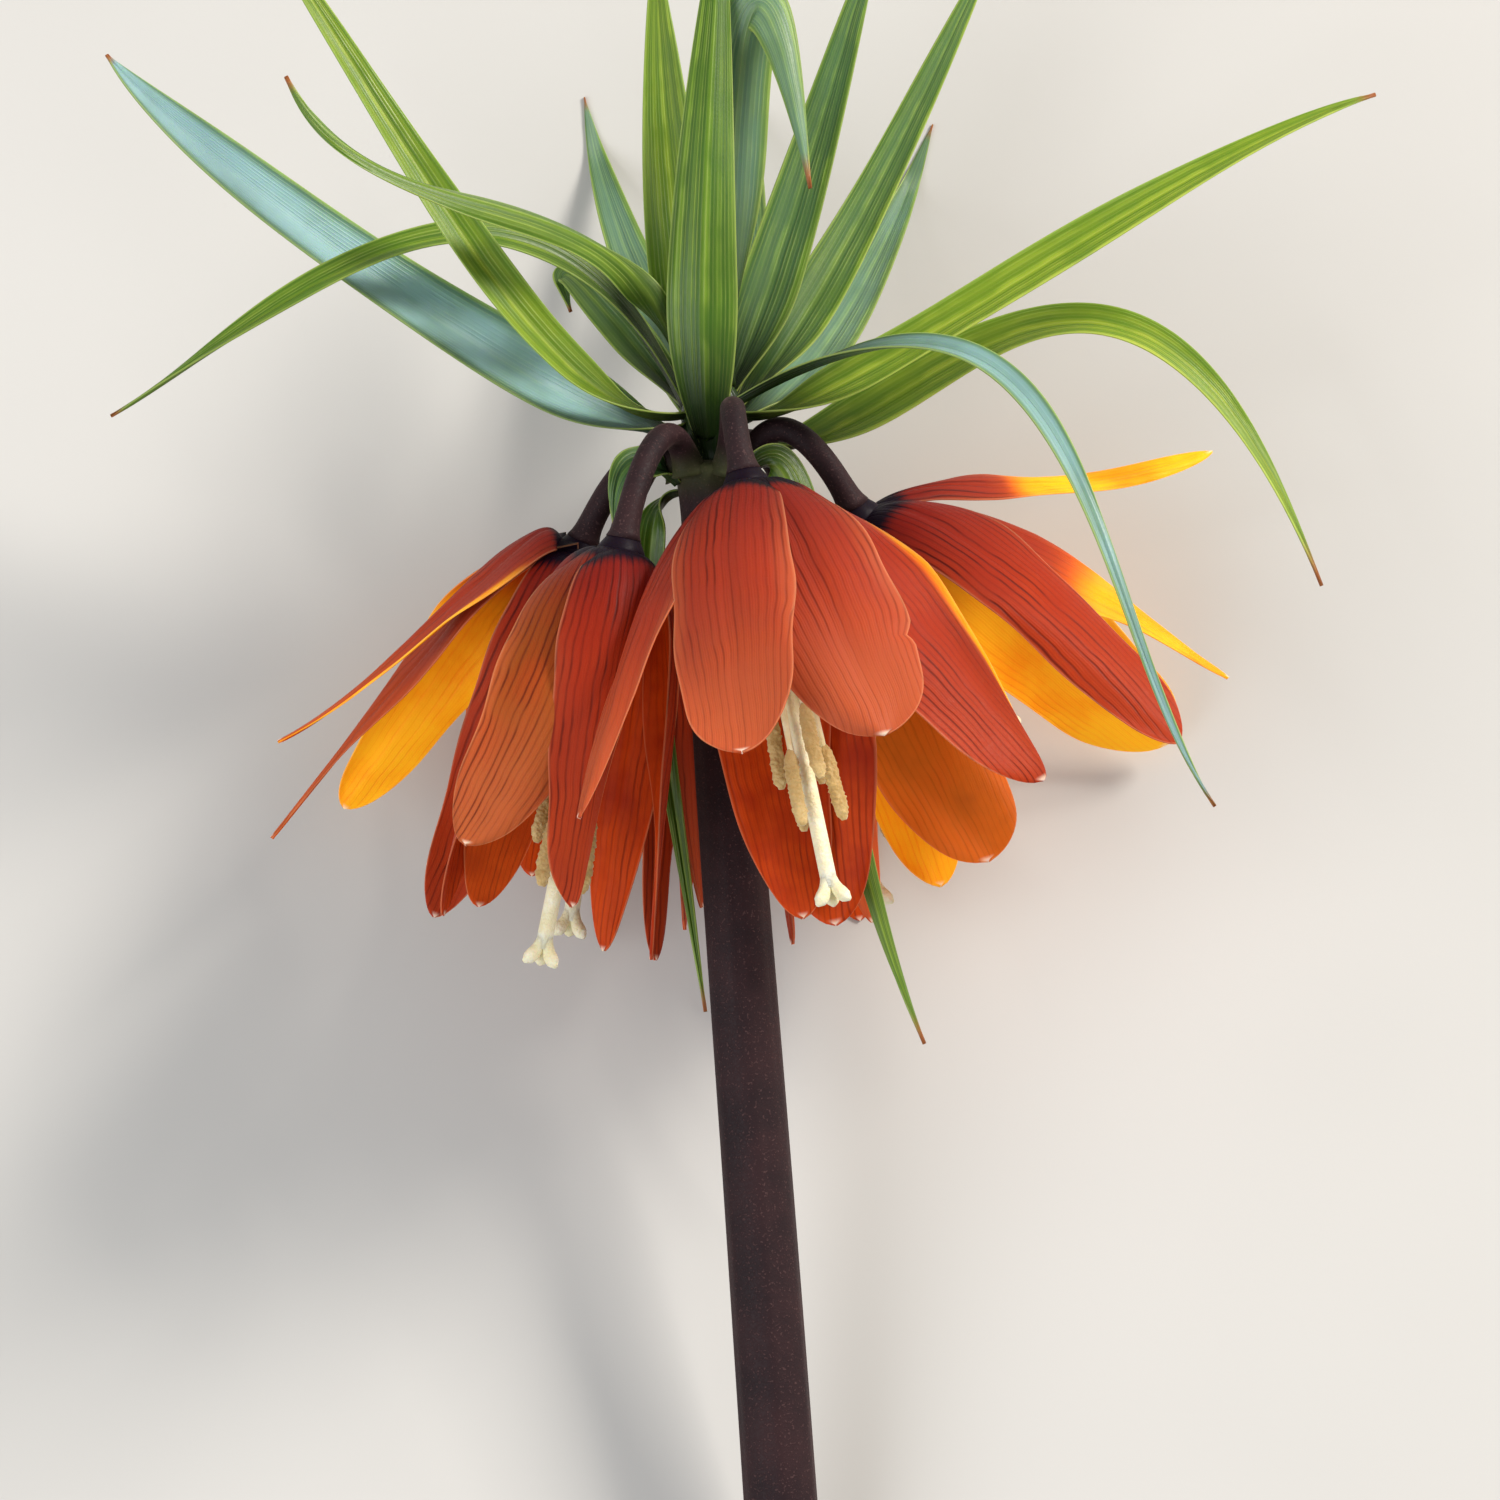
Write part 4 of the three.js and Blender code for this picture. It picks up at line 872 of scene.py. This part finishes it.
def make_leaf_skin():
    """Strap leaf tissue: green with close pale ribs and a thin pale margin, yellower where backlight is
    painted, near-black at its foot as painted shade, blue white where the wax is thick, with a dry
    orange-brown point."""
    material, tree = new_tree("leaf_skin")
    along, across = value_of(tree, "along"), sums(tree, "ABSOLUTE", value_of(tree, "across"))
    patches, grain = mottle(tree, 0.014, 0.0005)
    thick, fine = veins(tree, value_of(tree, "vein"), 0.32, 0.2)
    broad, _ = veins(tree, sums(tree, "MULTIPLY", value_of(tree, "vein"), 0.3), 0.45, 0.5)
    warm = value_of(tree, "warm")
    # Painted backlight: the leaf and its stripes turn yellow green by their share of it.
    colour = blend(tree, warm, tint("25500f"), tint("6f8c14"))
    colour = blend(tree, ramp(tree, patches, 0.35, 0.7, 0, 0.4), colour, tint("3f6c18"))
    stripe = blend(tree, warm, tint("6f9a28"), tint("b8c43c"))
    colour = blend(tree, sums(tree, "MULTIPLY", broad, 0.8), colour, stripe)
    colour = blend(tree, sums(tree, "MULTIPLY", thick, 0.3), colour, tint("c4d46c"))
    colour = blend(tree, sums(tree, "MULTIPLY", fine, 0.15), colour, tint("1d3a14"))
    # Painted shade: near-black towards the foot, where the leaves crowd round the core.
    colour = blend(tree, ramp(tree, along, 0.04, 0.34, 0.92, 0), colour, tint("0c1d08"))
    wax = sums(tree, "MULTIPLY", value_of(tree, "bloom"), ramp(tree, patches, 0.2, 0.6, 0.6, 1.0))
    wax = sums(tree, "MULTIPLY", wax, ramp(tree, across, 0.6, 0.95, 1, 0.25))
    wax = sums(tree, "MULTIPLY", wax, ramp(tree, along, 0.05, 0.3))
    colour = blend(tree, wax, colour, tint("8fb4b6"))
    colour = blend(tree, ramp(tree, across, 0.9, 0.99, 0, 0.4), colour, tint("bccb6c"))
    colour = blend(tree, ramp(tree, along, 0.965, 0.995), colour, tint("9c5a2c"))
    height = sums(tree, "ADD", sums(tree, "MULTIPLY", thick, 0.6), sums(tree, "MULTIPLY", grain, 0.2))
    bump = node(tree, "Bump", {"Strength": 0.5, "Distance": 0.0002, "Height": height})
    skin(tree, {
        "Base Color": colour, "Normal": bump.outputs[0],
        "Roughness": ramp(tree, grain, 0.2, 0.8, 0.34, 0.46), "Specular IOR Level": 0.35,
        "Subsurface Weight": 0.25, "Subsurface Radius": (0.5, 1.0, 0.15), "Subsurface Scale": 0.0012,
    })
    return material


leaf_skin = make_leaf_skin()


def core_solid():
    """Rings of the core's profile, fluted by the clasping feet: the radius grows evenly across each foot and
    steps back at its margin, and the margins run round as they rise."""
    way = np.linspace(0, 1, CORE_RINGS)[:, None]
    lowest, highest = CORE_PROFILE[0, 1], CORE_PROFILE[-1, 1]
    heights = lowest + (highest - lowest) * way
    radii = np.maximum(np.interp(heights, CORE_PROFILE[:, 1], CORE_PROFILE[:, 0]), 0.2)
    radii[0] = CORE_PROFILE[1, 0]
    clasped = (np.arange(CORE_FACETS) / CORE_FACETS * CLASPING_FEET + 0.5 * way) % 1
    directions = np.broadcast_to(UP_THE_STEM, (CORE_RINGS, 3))
    fluted = radii * (0.96 + 0.12 * clasped)
    rings = rings_about(STEM_TOP + heights * directions, directions, fluted, FRONT, CORE_FACETS)
    plain = 0 * clasped
    # With along at 0 the whole core takes the painted shade of the leaf feet, and a little painted
    # backlight.
    return closed_tube(
        rings, along=plain, across=2 * clasped - 1, vein=7 * clasped + 0.5, bloom=plain, warm=plain + 0.1)


grow("green_core", [core_solid()], leaf_skin, "crown_core")
for leaf_name, shape in LEAVES.items():
    grow("strap_leaf_" + leaf_name, [leaf(**shape)], leaf_skin, "leaf_" + leaf_name)

# --- Table, light and camera ---
# A plain pale table under soft studio light: a large warm lamp from the upper right, a weak one from the
# left, and a pale room. The camera looks down along the plant's own front.


def make_table_finish():
    """Matt pale paint with a trace of grain."""
    material, tree = new_tree("table_finish")
    patches, grain = mottle(tree, 0.2, 0.002)
    colour = blend(tree, ramp(tree, patches, 0.3, 0.7), tint("cccac6"), tint("d2d0cc"))
    bump = node(tree, "Bump", {"Strength": 0.05, "Distance": 0.0002, "Height": grain})
    skin(tree, {
        "Base Color": colour, "Roughness": 0.8, "Specular IOR Level": 0.15, "Normal": bump.outputs[0],
    })
    return material


BELLS_MIDDLE = Vector((0, 0.02, 0.03))
TABLE_CORNERS = [(-6, -6, 0), (6, -6, 0), (6, 6, 0), (-6, 6, 0)]
table_mesh = bpy.data.meshes.new("table")
table_mesh.from_pydata(TABLE_CORNERS, [], [(0, 1, 2, 3)])
table_mesh.materials.append(make_table_finish())
table = bpy.data.objects.new("table", table_mesh)
bpy.context.scene.collection.objects.link(table)


def lamp(name, place, size, power, colour):
    """A square area lamp at a place, turned to aim at the bells."""
    light = bpy.data.lights.new(name, "AREA")
    light.shape, light.size, light.energy, light.color = "SQUARE", size, power, colour
    made = bpy.data.objects.new(name, light)
    made.location = place
    made.rotation_euler = (BELLS_MIDDLE - Vector(place)).to_track_quat("-Z", "Y").to_euler()
    bpy.context.scene.collection.objects.link(made)


lamp("key_lamp", (1.35, 1.1, 1.15), size=0.6, power=50.0, colour=(1.0, 0.95, 0.88))
lamp("fill_lamp", (-1.2, -0.5, 1.2), size=1.2, power=18.0, colour=(0.93, 0.96, 1.0))
world = bpy.data.worlds.new("room")
world.use_nodes = True
world.node_tree.nodes["Background"].inputs["Color"].default_value = (1.0, 1.0, 1.0, 1.0)
world.node_tree.nodes["Background"].inputs["Strength"].default_value = 0.42
bpy.context.scene.world = world
bpy.context.scene.view_settings.view_transform = "Standard"

CAMERA_AIM = [6.25, -38.9]
CAMERA_DISTANCE = 900.0
FRAME_WIDTH = 208.33
camera = bpy.data.cameras.new("camera")
camera.sensor_fit = "HORIZONTAL"
camera.angle = 2 * math.atan(FRAME_WIDTH / 2 / CAMERA_DISTANCE)
camera.clip_start, camera.clip_end = 0.05, 20
viewer = bpy.data.objects.new("camera", camera)
viewer.location = laid_down(np.array([*CAMERA_AIM, CAMERA_DISTANCE])).tolist()
viewer.rotation_euler = (LEAN, 0, 0)
bpy.context.scene.collection.objects.link(viewer)
bpy.context.scene.camera = viewer
